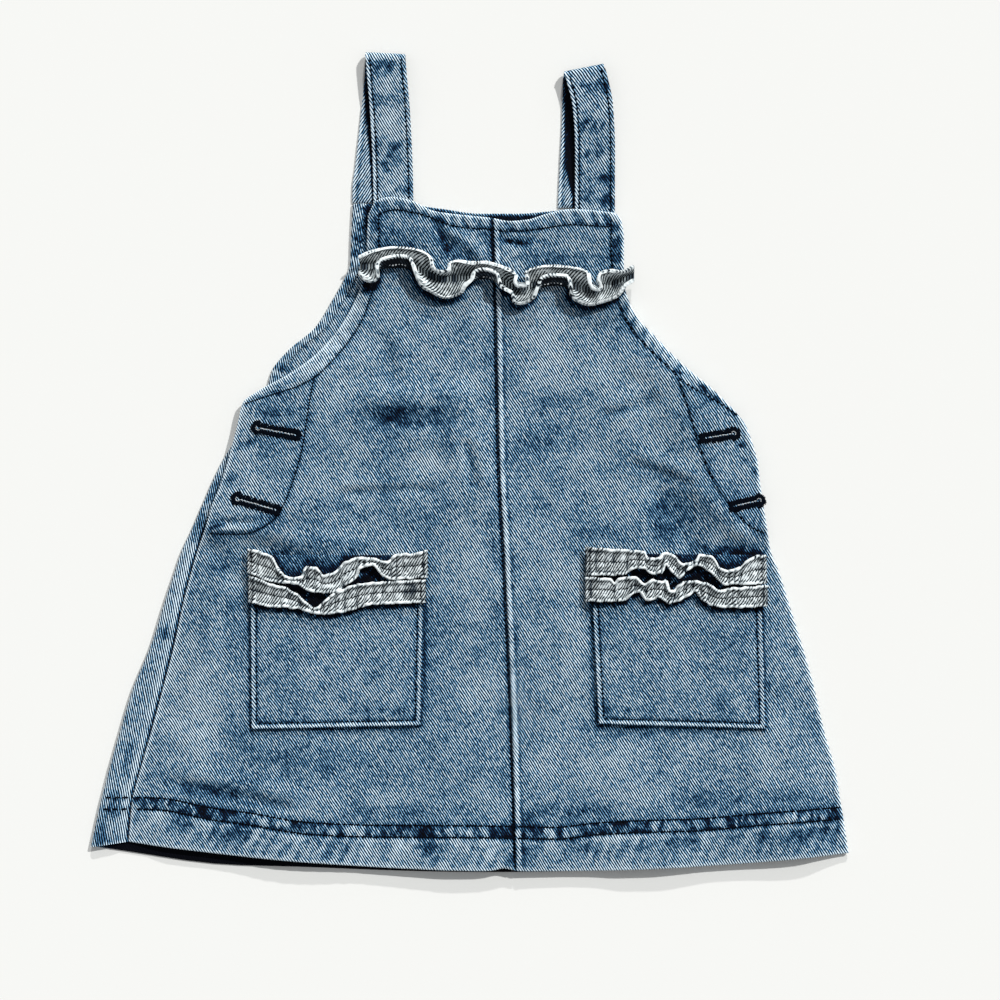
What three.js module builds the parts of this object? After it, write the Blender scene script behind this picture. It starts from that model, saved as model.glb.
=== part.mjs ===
// Child's denim pinafore dress, laid flat on its back with its two straps folded over.
// Millimetres. X runs across the dress, Y from the hem up to the straps, Z up from the surface.
import * as THREE from "three";

// Driving dimensions
const clothThickness = 1.0;
const seamGap = 0.3;
const hemExtra = 0.5;
const placketExtra = 0.5;
const centreRidgeWidth = 3.0;
const centreRidgeExtra = 0.8;
const stepWidth = 1.2;
const turnedEdgeWidth = 5.5;
const hemBow = -11.5;
const backHemDrop = 3.5;
const restGap = 0.9;
const standLift = 2.4;
const strapLift = 1.3;
const wrapPuff = 1.1;
const strapWidth = 20;
const strapThickness = 1.4;
const strapFoldRadius = 2.4;
const buttonRadius = 6;
const buttonThickness = 2;
const frillHalfWidth = 10;
const frillThickness = 1.1;
const bandThickness = 1.1;
const pouchThickness = 1.3;
const pouchRim = 2.3;
const pouchRimExtra = 0.4;
const pouchSeams = 1.5;
const widestRow = 15;
const columnsAcrossFront = 8;
const edgeColumn = 2;

// Front of the dress, one row for each level from hem to neck.
// The two side edges are points; the rest are places along the level:
// turned: where the turned edge or armhole hem is stitched; placket: the seam of the buttonhole stand.
const frontLevels = named(
  [
    "level", "leftX", "leftY", "leftTurned", "leftPlacket",
    "rightPlacket", "rightTurned", "rightX", "rightY",
  ],
  [
    ["hem", -170, -191.5, -163, -134, 152, 183.5, 190.5, -197.2],
    ["hem stitching", -168, -169.5, -161.5, -133, 149, 180, 187, -174.5],
    ["above hem", -167.6, -168, -161, -132.8, 148.7, 179.7, 186.7, -173],
    ["low skirt", -164, -155, -157.5, -131.5, 146, 177, 184, -156.5],
    ["pouch foot", -158.5, -136, -152, -129, 143.5, 171.5, 178.5, -137],
    ["mid skirt", -153, -115.5, -146.5, -126.5, 142.5, 166.5, 173.5, -115.5],
    ["pouch", -147, -92.5, -140.5, -123.5, 141.5, 160, 167, -92.5],
    ["band foot", -143, -73.5, -136.5, -120.5, 140, 154.5, 161, -73.5],
    ["band", -139, -58, -133, -118, 138.5, 149.5, 156, -57.5],
    ["band top", -135.5, -46, -129.5, -114, 137, 145.5, 151.5, -46],
    ["placket foot", -131, -34, -125.5, -104, 136.8, 143.5, 149.5, -35.5],
    ["low buttonhole", -128, -23.5, -122, -92.2, 130.5, 141.5, 147.5, -23],
    ["hip", -124.5, -15, -118.5, -88.5, 124, 139, 146, -13.5],
    ["waist", -121, -5, -115, -85, 118, 137, 144.5, -1],
    ["high buttonhole", -118, 6, -112, -82.5, 115.5, 134.5, 142, 8],
    ["side", -115, 17.5, -108.5, -80.8, 112.5, 130, 138.5, 17],
    ["underarm", -112.5, 28, -106, -79.2, 110.5, 127.5, 134.5, 22.5],
    ["armhole foot", -103, 35, -88.5, -77.5, 106.5, 111.5, 122, 35],
    ["armhole low", -91, 41.5, -77.5, -74, 95.5, 100, 111, 44],
    ["armhole", -80, 49, -67, -63, 86, 90.5, 100.5, 54],
    ["armhole mid", -70.5, 58, -60.5, -56.5, 79.5, 84.5, 93.5, 61.5],
    ["armhole high", -63.5, 67, -54.5, -50.5, 75, 80, 88.5, 66.5],
    ["chest", -58.5, 75.5, -50.8, -47, 71.5, 76.5, 84, 72.5],
    ["frill foot", -55, 83, -48.2, -44.5, 69.5, 73.5, 80.5, 79],
    ["frill", -52, 91.5, -45.8, -42.2, 68.3, 72.2, 78.5, 86.5],
    ["bib", -51, 100.5, -44.8, -41.2, 68, 72, 78, 98.5],
    ["bib top", -50.6, 109, -44.6, -41, 67.8, 71.8, 78, 107.5],
    ["neck step", -50.4, 114.6, -44.6, -41, 67.6, 71.6, 77.8, 112.8],
    ["neck stitching", -50.2, 116, -44.6, -41, 67.5, 71.5, 77.6, 114.2],
    ["neck", -50, 122, -44.6, -41, 67, 71, 76.5, 120],
  ],
);
const frontNeck = named(
  ["x", "y"],
  [
    [-50, 122], [-46, 129], [-38.5, 131], [-29.5, 129.5], [-17, 124], [12, 120.5],
    [21, 119], [30, 119.75], [39, 122.5], [51, 124.75], [73, 123], [76.5, 120],
  ],
);
const centreSeam = named(
  ["y", "x"],
  [[-206, 24], [-140, 22], [-50, 18], [-4, 15.5], [82, 13.7], [122, 12.2]],
);
const hemStitching = heightOf("hem stitching");
const placketFoot = heightOf("placket foot");
const armholeFoot = heightOf("underarm") + 6;
const neckStitching = heightOf("neck stitching");

// Back of the dress. Its left side wraps forward as far as the front's side seam.
const backLevels = named(
  ["level", "leftX", "leftY", "rightX", "rightY"],
  [
    ["hem", -188.8, -193.8, 189.5, -197],
    ["hem stitching", -183.6, -170.5, 186, -174.5],
    ["above hem", -183.2, -169, 185.7, -173],
    ["low skirt", -180, -156.5, 183, -156.5],
    ["pouch foot", -174.5, -137, 177.5, -137],
    ["mid skirt", -168, -115.5, 172.5, -115.5],
    ["pouch", -158.5, -92.5, 166, -92.5],
    ["band foot", -152.5, -73.5, 160, -73.5],
    ["band", -147.5, -58.5, 155, -57.5],
    ["band top", -143.5, -46.5, 150.5, -46],
    ["placket foot", -138, -34.5, 148.5, -35.5],
    ["low buttonhole", -133.5, -24, 146.5, -23],
    ["waist", -125.5, -6, 143.5, -1],
    ["high buttonhole", -119.5, 5, 139, 8],
    ["side", -111, 16.5, 133.5, 17],
    ["underarm", -103, 27, 129, 22.5],
    ["armhole low", -98, 44.5, 107, 44],
    ["armhole", -90.5, 54, 97, 54],
    ["armhole high", -76.5, 66, 85, 66.5],
    ["chest", -67, 81, 77, 79],
    ["frill", -62, 90, 75, 86.5],
    ["bib", -59, 97.5, 74.5, 98.5],
    ["bib top", -58.5, 110.5, 74.5, 110.5],
    ["neck", -57.5, 123, 74, 121.5],
  ],
);
const backNeck = named(
  ["x", "y"],
  [
    [-57.5, 123], [-54, 127], [-36.5, 128], [-14, 125.5], [6, 123],
    [26, 123], [39, 124], [56, 125.5], [74, 121.5],
  ],
);

// Largest soft folds in the front, each a low ridge between two ends.
const softFolds = named(
  ["x1", "y1", "x2", "y2", "width", "height"],
  [
    [-38, 26, -8, 12, 15, 1.5],
    [-4, 20, 4, -16, 14, 1.2],
    [98, 52, 112, 20, 13, 1.3],
    [62, 40, 88, 8, 16, 0.9],
    [-66, 30, -44, -6, 16, 0.9],
    [-146, -110, -132, -84, 13, 1.0],
    [-78, -158, -92, -200, 20, 1.3],
    [4, -150, -6, -205, 20, 1.1],
    [82, -158, 92, -205, 20, 1.3],
    [150, -150, 160, -198, 18, 1.0],
    [12, -20, 10, -70, 18, 0.9],
  ],
);

// Buttons of the two side openings, on the back's stands and under the front.
const buttonPlaces = named(
  ["name", "x", "y"],
  [
    ["button_left_upper", -98.6, 14.5],
    ["button_left_lower", -109, -21.5],
    ["button_right_upper", 124, 11],
    ["button_right_lower", 136, -21],
  ],
);

// Straps, from the end behind the bib over the top fold and back down to the back's neck edge.
const strapRoutes = {
  strap_left: {
    front: named(["y", "x"], [[118.5, -37.2], [139.5, -37.5], [174.5, -39], [192, -40.5], [202, -41.3]]),
    back: named(
      ["y", "x"],
      [[128.4, -48], [137, -47.8], [147, -46.5], [169.5, -44], [189.5, -42], [202, -41.3]],
    ),
    top: 202.2,
    slant: -1,
  },
  strap_right: {
    front: named(["y", "x"], [[116.5, 63.5], [154.5, 63.5], [175.5, 62.4], [189.5, 59.5], [196, 57.6]]),
    back: named(["y", "x"], [[125.9, 55], [134.5, 55.3], [147, 56], [169.5, 57], [196, 57.6]]),
    top: 195,
    slant: 4,
  },
};

// Patch pockets: corners of each pouch and its two gathered tiers, a row for each fold of a tier.
const pouches = {
  pocket_pouch_left: {
    topLeft: [-109, -48],
    topRight: [-21.5, -48],
    footLeft: [-108.3, -135.2],
    footRight: [-23.5, -133.3],
  },
  pocket_pouch_right: {
    topLeft: [60.6, -47],
    topRight: [146.2, -48],
    footLeft: [65, -132.6],
    footRight: [148.8, -135],
  },
};
const tiers = {
  pocket_tier_left_upper: named(
    ["x", "top", "foot"],
    [
      [-110, -45, -55], [-99, -46.3, -60], [-94, -53, -61.3], [-87.5, -58, -62],
      [-81, -54, -65], [-76, -53.3, -66], [-71.5, -57.3, -66.3], [-65, -55.5, -65.7],
      [-60, -51, -62.5], [-54.5, -49, -58], [-47, -47.5, -53.3], [-41, -50, -59],
      [-35, -47.3, -59.2], [-20, -45.3, -57.5],
    ],
  ),
  pocket_tier_left_lower: named(
    ["x", "top", "foot"],
    [
      [-110, -58.5, -71.3], [-99, -62.3, -73.7], [-88.5, -65.5, -74.3], [-82, -69, -75],
      [-76.3, -72.4, -76.9], [-71.5, -70.2, -77.4], [-66.5, -67.6, -77.2],
      [-54, -63.4, -74.5], [-41.5, -61, -72.3], [-20, -60, -71.7],
    ],
  ),
  pocket_tier_right_upper: named(
    ["x", "top", "foot"],
    [
      [58.2, -43.9, -57.6], [78.5, -45.2, -57.3], [83, -45.8, -54.7], [88, -46.5, -55.2],
      [91.5, -49.1, -57.5], [95.5, -48.5, -57.3], [98.6, -46.4, -53], [102, -47.7, -57],
      [107, -52, -58.3], [111, -50.4, -55.5], [115.5, -47.6, -53.8], [120.5, -47.8, -56],
      [125, -53.2, -60.3], [130.5, -55, -62.8], [137, -52.5, -62.8], [141, -49, -62.5],
      [149.5, -47.8, -62.2],
    ],
  ),
  pocket_tier_right_lower: named(
    ["x", "top", "foot"],
    [
      [58.2, -59.4, -71.3], [73, -60.6, -71], [78.5, -59.2, -70.7], [84, -58.9, -66.8],
      [88.5, -62, -70.5], [92.5, -60.2, -70], [97, -60.6, -70.5], [101.5, -65.3, -72],
      [105.5, -62.2, -70.7], [111, -60.5, -67.5], [114, -60.9, -66.6], [118, -61.9, -70.8],
      [124, -65.4, -73.7], [130.5, -65.6, -74.2], [150, -64.4, -73.6],
    ],
  ),
};

// Frill across the bib: stitched down along its middle, with both of its edges free to wave.
const frillStitching = named(
  ["x", "y"],
  [[-54, 96], [-33, 97], [-12, 90], [8.5, 91.5], [26, 85.5], [43.5, 88.2], [60, 84.5], [83, 91.5]],
);
const frillUpper = named(
  ["x", "y"],
  [
    [-54, 98.6], [-45, 104], [-35.5, 106], [-24, 104.5], [-18, 99], [-13.5, 94], [-8, 99], [1, 98.8],
    [12.5, 96.7], [20.5, 92], [25.5, 87], [31, 94], [36.5, 95.7], [51, 96], [58.5, 92], [63.5, 85.8],
    [68, 92.5], [83, 95.5],
  ],
);
const frillLower = named(
  ["x", "y"],
  [
    [-54, 93.4], [-47, 99], [-31.5, 101.3], [-26.5, 94], [-22.5, 86], [-15, 81], [-5, 81], [0.5, 86],
    [5, 93.3], [12, 94], [17, 86], [24.5, 77.5], [32.5, 80], [36.8, 87], [41, 91.3], [48.5, 91.5],
    [51.6, 84], [57, 77.2], [66, 77.2], [77.5, 84], [83, 88.8],
  ],
);

const frontDenim = denim(0x64819b);
const backDenim = denim(0x65829a);
const strapDenim = denim(0x5c7a95);
const paleDenim = denim(0x7d8a92);

/** Height of one of the front's named levels at its left edge. */
function heightOf(name) {
  return frontLevels.find((row) => row.level === name).leftY;
}

function denim(colour) {
  return new THREE.MeshStandardMaterial({ color: colour, roughness: 0.92, metalness: 0 });
}

/** Turns a table's rows into objects with the given column names. */
function named(columns, rows) {
  return rows.map((row) => Object.fromEntries(columns.map((column, i) => [column, row[i]])));
}

function mix(a, b, t) {
  return a + (b - a) * t;
}

/** Rises smoothly from 0 at low to 1 at high; low may be the larger of the two. */
function ease(low, high, value) {
  const t = Math.min(1, Math.max(0, (value - low) / (high - low)));
  return t * t * (3 - 2 * t);
}

/** Reads a table at a place between its rows, without overshooting them. */
function read(rows, along, column, place) {
  const last = rows.length - 1;
  const slope = (i) => (rows[i + 1][column] - rows[i][column]) / (rows[i + 1][along] - rows[i][along]);
  const tangent = (i) => {
    if (i === 0) return slope(0);
    if (i === last) return slope(last - 1);
    const before = slope(i - 1);
    const after = slope(i);
    return before * after <= 0 ? 0 : (2 * before * after) / (before + after);
  };
  let i = 0;
  while (i < last - 1 && place > rows[i + 1][along]) i += 1;
  const width = rows[i + 1][along] - rows[i][along];
  const t = Math.min(1, Math.max(0, (place - rows[i][along]) / width));
  const h00 = (1 + 2 * t) * (1 - t) * (1 - t);
  const h10 = t * (1 - t) * (1 - t);
  const h01 = t * t * (3 - 2 * t);
  const h11 = t * t * (t - 1);
  const ends = h00 * rows[i][column] + h01 * rows[i + 1][column];
  return ends + width * (h10 * tangent(i) + h11 * tangent(i + 1));
}

/** Adds rows to a table of levels wherever two of them are far apart. */
function closerLevels(levels, along) {
  const places = [levels[0][along]];
  for (let i = 1; i < levels.length; i += 1) {
    const from = levels[i - 1][along];
    const to = levels[i][along];
    const steps = Math.ceil((to - from) / widestRow);
    for (let k = 1; k <= steps; k += 1) places.push(mix(from, to, k / steps));
  }
  const columns = Object.keys(levels[0]).filter((column) => column !== "level" && column !== along);
  return places.map((place) => ({
    [along]: place,
    ...Object.fromEntries(columns.map((column) => [column, read(levels, along, column, place)])),
  }));
}

/** A closed cloth wall between two grids of points, the second on the side that the grid's turn faces. */
function wall(under, over) {
  const rows = under.length;
  const columns = under[0].length;
  const positions = [...under.flat(), ...over.flat()].flatMap((p) => [p.x, p.y, p.z]);
  const below = (i, j) => i * columns + j;
  const above = (i, j) => rows * columns + below(i, j);
  const faces = [];
  const quad = (a, b, c, d) => faces.push(a, b, c, a, c, d);
  for (let i = 0; i < rows - 1; i += 1) {
    for (let j = 0; j < columns - 1; j += 1) {
      quad(above(i, j), above(i, j + 1), above(i + 1, j + 1), above(i + 1, j));
      quad(below(i, j), below(i + 1, j), below(i + 1, j + 1), below(i, j + 1));
    }
  }
  const rim = [];
  for (let j = 0; j < columns - 1; j += 1) rim.push([0, j]);
  for (let i = 0; i < rows - 1; i += 1) rim.push([i, columns - 1]);
  for (let j = columns - 1; j > 0; j -= 1) rim.push([rows - 1, j]);
  for (let i = rows - 1; i > 0; i -= 1) rim.push([i, 0]);
  rim.forEach(([i, j], k) => {
    const [m, n] = rim[(k + 1) % rim.length];
    quad(below(i, j), below(m, n), above(m, n), above(i, j));
  });
  const geometry = new THREE.BufferGeometry();
  geometry.setAttribute("position", new THREE.Float32BufferAttribute(positions, 3));
  geometry.setIndex(faces);
  geometry.computeVertexNormals();
  return geometry;
}

/** A closed wall of even thickness on both sides of a grid of points. */
function evenWall(grid, thickness) {
  const tangent = (before, after) => new THREE.Vector3().subVectors(after, before);
  const offset = (side) =>
    grid.map((row, i) =>
      row.map((point, j) => {
        const along = tangent(row[Math.max(0, j - 1)], row[Math.min(row.length - 1, j + 1)]);
        const across = tangent(grid[Math.max(0, i - 1)][j], grid[Math.min(grid.length - 1, i + 1)][j]);
        const normal = along.cross(across).normalize();
        return point.clone().addScaledVector(normal, (side * thickness) / 2);
      }),
    );
  return wall(offset(-1), offset(1));
}

/** How far across the front a place lies, from 0 at its left edge to 1 at its right edge. */
function acrossFront(x, y) {
  const left = read(frontLevels, "leftY", "leftX", y);
  const right = read(frontLevels, "rightY", "rightX", y);
  return (x - left) / (right - left);
}

/** How fully the hem's curve shows at a height, from 0 at the pockets' tops to 1 at the hem. */
function hemShare(y) {
  const bowStart = -60;
  const fullBow = -165;
  return ease(bowStart, fullBow, y);
}

/** How far a fold in the table lifts the cloth at a place. */
function foldHeight(fold, x, y) {
  const dx = fold.x2 - fold.x1;
  const dy = fold.y2 - fold.y1;
  const length = Math.hypot(dx, dy);
  const along = ((x - fold.x1) * dx + (y - fold.y1) * dy) / length;
  const aside = ((x - fold.x1) * dy - (y - fold.y1) * dx) / length;
  const past = Math.max(0, -along, along - length);
  return fold.height * Math.exp(-(aside * aside + past * past) / (fold.width * fold.width));
}

/** Lift of the front over the two button stands, which fades towards the middle, hem and armholes. */
function liftOverStands(x, y) {
  const fade = 24;
  const lowest = -47;
  const [full, highest] = [38, 64];
  const left = ease(fade, 0, x - read(frontLevels, "leftY", "leftPlacket", y));
  const right = ease(-fade, 0, x - read(frontLevels, "rightY", "rightPlacket", y));
  return standLift * Math.max(left, right) * ease(lowest, placketFoot, y) * ease(highest, full, y);
}

/** Lift of the front over the two strap ends behind the bib. */
function liftOverStraps(x, y) {
  const [near, far] = [11, 24];
  const [start, full] = [100, 117];
  const aside = Math.min(...Object.values(strapRoutes).map(({ front }) => Math.abs(x - front[0].x)));
  return strapLift * ease(far, near, aside) * ease(start, full, y);
}

/** Height of the front's underside above the surface. */
function frontUnderside(x, y) {
  const sideShare = 0.06;
  const [sewnTop, openFrom] = [-48, -36];
  const [hemHollowTop, hemHollowFoot] = [-150, -205];
  const [bodyHollow, hemHollow] = [0.5, 1.2];
  const u = acrossFront(x, y);
  const inside = ease(0, sideShare, u) * ease(1, 1 - sideShare, u);
  const sewnSide = (1 - ease(sewnTop, openFrom, y)) * (1 - inside);
  const folds = softFolds.reduce((sum, fold) => sum + foldHeight(fold, x, y), 0);
  const hollow = bodyHollow + hemHollow * ease(hemHollowTop, hemHollowFoot, y);
  const resting = clothThickness + mix(restGap, seamGap, sewnSide);
  return resting + inside * (hollow + folds) + liftOverStands(x, y) + liftOverStraps(x, y);
}

/** A level's height at a place, with the hem's bow and the neck's curve. */
function shapedY(y, x, u, neck, neckLevel, foot) {
  const bow = hemBow * 4 * u * (1 - u) * hemShare(y);
  const rise = (read(neck, "x", "y", x) - neckLevel) * ease(foot, neckLevel, y);
  return y + bow + rise;
}

/** One half of the front, left or right of the centre seam. */
function frontPanel(isLeft) {
  const neckFade = 21.5;
  const under = [];
  const over = [];
  for (const level of closerLevels(frontLevels, "leftY")) {
    const seamX = read(centreSeam, "y", "x", (level.leftY + level.rightY) / 2);
    const turnedUp = level.leftY <= hemStitching || level.leftY >= neckStitching;
    const points = (isLeft ? leftColumns(level, seamX) : rightColumns(level, seamX)).map((column) => {
      const u = (column.x - level.leftX) / (level.rightX - level.leftX);
      const neckLevel = mix(frontNeck[0].y, frontNeck.at(-1).y, u);
      const flat = mix(level.leftY, level.rightY, u);
      const y = shapedY(flat, column.x, u, frontNeck, neckLevel, neckLevel - neckFade);
      const z = frontUnderside(column.x, y);
      const extra = Math.max(turnedUp ? hemExtra : 0, column.ridge, edgeExtra(level, column));
      return { x: column.x, y, z, top: z + clothThickness + extra };
    });
    under.push(points.map((p) => new THREE.Vector3(p.x, p.y, p.z)));
    over.push(points.map((p) => new THREE.Vector3(p.x, p.y, p.top)));
  }
  return wall(under, over);
}

/** Extra thickness of the turned armhole edge and of the buttonhole stand. */
function edgeExtra(level, column) {
  if (level.leftY >= armholeFoot) return column.turned ? hemExtra : 0;
  if (level.leftY >= placketFoot) return column.stand ? placketExtra : 0;
  return 0;
}

/** Places between two ends along a level, without the first. */
function evenly(from, to) {
  return Array.from({ length: columnsAcrossFront }, (_, k) => {
    return { x: mix(from, to, (k + 1) / columnsAcrossFront) };
  });
}

function leftColumns(level, seamX) {
  const start = level.leftPlacket + stepWidth;
  return [
    { x: level.leftX, turned: true, stand: true },
    { x: level.leftX + edgeColumn, turned: true, stand: true },
    { x: level.leftTurned, turned: true, stand: true },
    { x: level.leftTurned + stepWidth, stand: true },
    { x: level.leftPlacket, stand: true },
    { x: start },
    ...evenly(start, seamX - seamGap / 2),
  ].map((column) => ({ ridge: 0, ...column }));
}

function rightColumns(level, seamX) {
  const start = seamX + seamGap / 2;
  const ridgeEnd = start + centreRidgeWidth;
  const ridgeFoot = ridgeEnd + centreRidgeExtra;
  return [
    { x: start, ridge: centreRidgeExtra },
    { x: ridgeEnd, ridge: centreRidgeExtra },
    { x: ridgeFoot },
    ...evenly(ridgeFoot, level.rightPlacket - stepWidth),
    { x: level.rightPlacket, stand: true },
    { x: level.rightTurned - stepWidth, stand: true },
    { x: level.rightTurned, turned: true, stand: true },
    { x: level.rightX - edgeColumn, turned: true, stand: true },
    { x: level.rightX, turned: true, stand: true },
  ].map((column) => ({ ridge: 0, ...column }));
}

/** The back: flat on the surface, with its left edge turned forward over itself. */
function backPanel() {
  const levels = closerLevels(backLevels, "leftY");
  const foldSteps = 4;
  const lowerSteps = 10;
  const neckFade = 20;
  const cornerRise = 2.3;
  const [dropMiddle, dropWidth] = [-128, 34];
  const [puffStart, fullPuff] = [-30, -70];
  const [cornerStart, cornerFoot] = [-150, -193];
  const flapLines = [
    { share: 0, lift: 0 },
    { share: 0.45, lift: 0.6 },
  ];
  const under = [];
  const over = [];
  for (const level of levels) {
    const puff = wrapPuff * ease(puffStart, fullPuff, level.leftY);
    const outer = clothThickness + (seamGap + puff) / 2;
    const inner = outer - clothThickness;
    const foldX = level.leftX + outer;
    const flapTop = 2 * clothThickness + seamGap;
    const width = level.rightX - level.leftX;
    const lowered = (x) => {
      const u = (x - level.leftX) / width;
      const neckLevel = mix(backNeck[0].y, backNeck.at(-1).y, u);
      const flat = mix(level.leftY, level.rightY, u);
      const nearness = Math.exp(-(((x - dropMiddle) / dropWidth) ** 2));
      const drop = backHemDrop * hemShare(level.leftY) * nearness;
      return shapedY(flat, x, u, backNeck, neckLevel, neckLevel - neckFade) - drop;
    };
    const wrapped = level.leftY < placketFoot;
    const wrapY = level.leftY + cornerRise * ease(cornerStart, cornerFoot, level.leftY);
    const frontEdge = read(frontLevels, "leftY", "leftX", wrapY) - seamGap;
    const wrapX = wrapped ? frontEdge : level.leftX + turnedEdgeWidth;
    const edgeY = lowered(level.leftX);
    const flap = flapLines.map(({ share, lift }) => {
      const x = mix(wrapX, foldX, share);
      const y = mix(wrapped ? wrapY : lowered(wrapX), edgeY, share);
      const z = flapTop + puff * lift;
      return { under: [x, y, z], over: [x, y, z - clothThickness] };
    });
    const fold = Array.from({ length: foldSteps + 1 }, (_, k) => {
      const angle = Math.PI / 2 + (Math.PI * k) / foldSteps;
      const point = (radius) => [foldX + radius * Math.cos(angle), edgeY, outer + radius * Math.sin(angle)];
      return { under: point(outer), over: point(inner) };
    });
    const lower = Array.from({ length: lowerSteps }, (_, k) => {
      const x = mix(foldX, level.rightX, (k + 1) / lowerSteps);
      return { under: [x, lowered(x), 0], over: [x, lowered(x), clothThickness] };
    });
    const section = [...flap, ...fold, ...lower];
    under.push(section.map((p) => new THREE.Vector3(...p.under)));
    over.push(section.map((p) => new THREE.Vector3(...p.over)));
  }
  return wall(under, over);
}

/** A patch pocket's pouch, which lies on the front and follows it, thicker along its turned edges. */
function pouch({ topLeft, topRight, footLeft, footRight }) {
  const even = [0.2, 0.4, 0.6, 0.8];
  const rimShare = pouchRim / (topRight[0] - topLeft[0]);
  const rimFoot = rimShare * 1.3;
  const across = [0, rimShare, rimFoot, ...even, 1 - rimFoot, 1 - rimShare, 1];
  const upwards = [0, rimShare, rimFoot, ...even, 1];
  const sewnHeight = clothThickness + pouchSeams * seamGap;
  const under = [];
  const over = [];
  for (const t of upwards) {
    const left = [mix(footLeft[0], topLeft[0], t), mix(footLeft[1], topLeft[1], t)];
    const right = [mix(footRight[0], topRight[0], t), mix(footRight[1], topRight[1], t)];
    const points = across.map((share) => {
      const x = mix(left[0], right[0], share);
      const y = mix(left[1], right[1], share);
      const rim = Math.min(share, 1 - share, t) <= rimShare * 1.01 ? pouchRimExtra : 0;
      const z = frontUnderside(x, y) + sewnHeight;
      return { x, y, z, top: z + pouchThickness + rim };
    });
    under.push(points.map((p) => new THREE.Vector3(p.x, p.y, p.z)));
    over.push(points.map((p) => new THREE.Vector3(p.x, p.y, p.top)));
  }
  return wall(under, over);
}

/** One gathered tier of a pocket band: stitched down along two rows, with puckers between them. */
function gatheredTier(rows) {
  const first = rows[0].x;
  const last = rows.at(-1).x;
  const columns = 40;
  const puckers = 13;
  const profile = named(
    ["share", "lift", "pucker"],
    [[0, 0.9, 0.55], [0.28, 0.1, 0.15], [0.5, 0.7, 0.3], [0.72, 0.1, 0.15], [1, 0.9, 0.55]],
  );
  const pouchHeight = clothThickness + pouchSeams * seamGap + pouchThickness + pouchRimExtra;
  const sewnHeight = pouchHeight + seamGap + bandThickness / 2;
  const grid = profile.map((line) =>
    Array.from({ length: columns }, (_, j) => {
      const x = mix(first, last, j / (columns - 1));
      const y = mix(read(rows, "x", "foot", x), read(rows, "x", "top", x), line.share);
      const wave = line.pucker * (1 + Math.cos((2 * Math.PI * puckers * j) / (columns - 1)));
      return new THREE.Vector3(x, y, frontUnderside(x, y) + sewnHeight + line.lift + wave);
    }),
  );
  return evenWall(grid, bandThickness);
}

/** The bib's frill: stitched along its middle, with each half standing as high as its width allows. */
function bibFrill() {
  const columns = 72;
  const first = frillStitching[0].x;
  const last = frillStitching.at(-1).x;
  const rootHalf = 1.4;
  const lowest = 1.3;
  const curl = 0.72;
  const bend = { out: 0.9, reach: 0.42, height: 0.55 };
  const sewnHeight = clothThickness + hemExtra + 1.3 * seamGap + frillThickness / 2;
  const sections = Array.from({ length: columns }, (_, j) => {
    const x = mix(first, last, j / (columns - 1));
    const middle = read(frillStitching, "x", "y", x);
    const ground = frontUnderside(x, middle) + sewnHeight;
    const half = (edgeY, side) => {
      const root = middle + side * rootHalf;
      const reach = edgeY - root;
      const spare = frillHalfWidth ** 2 - reach ** 2;
      const height = Math.max(lowest, Math.sqrt(Math.max(0, spare)) * curl);
      return [
        new THREE.Vector3(x, root, ground),
        new THREE.Vector3(x, root + side * bend.out + reach * bend.reach, ground + height * bend.height),
        new THREE.Vector3(x, edgeY, ground + height),
      ];
    };
    const lower = half(read(frillLower, "x", "y", x), -1);
    const upper = half(read(frillUpper, "x", "y", x), 1);
    return [...lower.reverse(), ...upper];
  });
  const grid = sections[0].map((_, i) => sections.map((section) => section[i]));
  return evenWall(grid, frillThickness);
}

/** A strap of two layers sewn flat, which lies back on itself at the shoulder. */
function strap({ front, back, top, slant }) {
  const legSteps = 7;
  const foldSteps = 6;
  const middle = strapThickness / 2;
  const tuckedZ = clothThickness + seamGap + middle;
  const foldY = top - strapFoldRadius;
  const foldZ = middle + strapFoldRadius;
  const restingZ = 2 * strapThickness + seamGap - middle;
  const [riseStart, fullRise] = [top - 60, top - 12];
  const slantStart = top - 40;
  const leg = (rows) => {
    return Array.from({ length: legSteps + 1 }, (_, k) => mix(rows[0].y, foldY, k / legSteps));
  };
  const frontLine = leg(front).map((y) => {
    const over = mix(tuckedZ, restingZ, ease(front[0].y + 3, back[0].y + 12, y)) + 0.1;
    const z = mix(over, foldZ + strapFoldRadius, ease(riseStart, fullRise, y));
    return { x: read(front, "y", "x", y), y, z };
  });
  const foldLine = Array.from({ length: foldSteps - 1 }, (_, k) => {
    const angle = Math.PI / 2 - (Math.PI * (k + 1)) / foldSteps;
    const y = foldY + strapFoldRadius * Math.cos(angle);
    return { x: read(front, "y", "x", top), y, z: foldZ + strapFoldRadius * Math.sin(angle) };
  });
  const backLine = leg(back).map((y) => ({ x: read(back, "y", "x", y), y, z: middle })).reverse();
  const grid = [...frontLine, ...foldLine, ...backLine].map((p) =>
    [-0.5, -0.4, 0, 0.4, 0.5].map((share) => {
      const tilt = slant * share * ease(slantStart, top, p.y);
      return new THREE.Vector3(p.x + share * strapWidth, p.y + tilt, p.z);
    }),
  );
  return evenWall(grid, strapThickness);
}

function button() {
  const disc = new THREE.CylinderGeometry(buttonRadius, buttonRadius, buttonThickness, 16);
  return disc.rotateX(Math.PI / 2);
}

function piece(name, geometry, material) {
  const mesh = new THREE.Mesh(geometry, material);
  mesh.name = name;
  return mesh;
}

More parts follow.
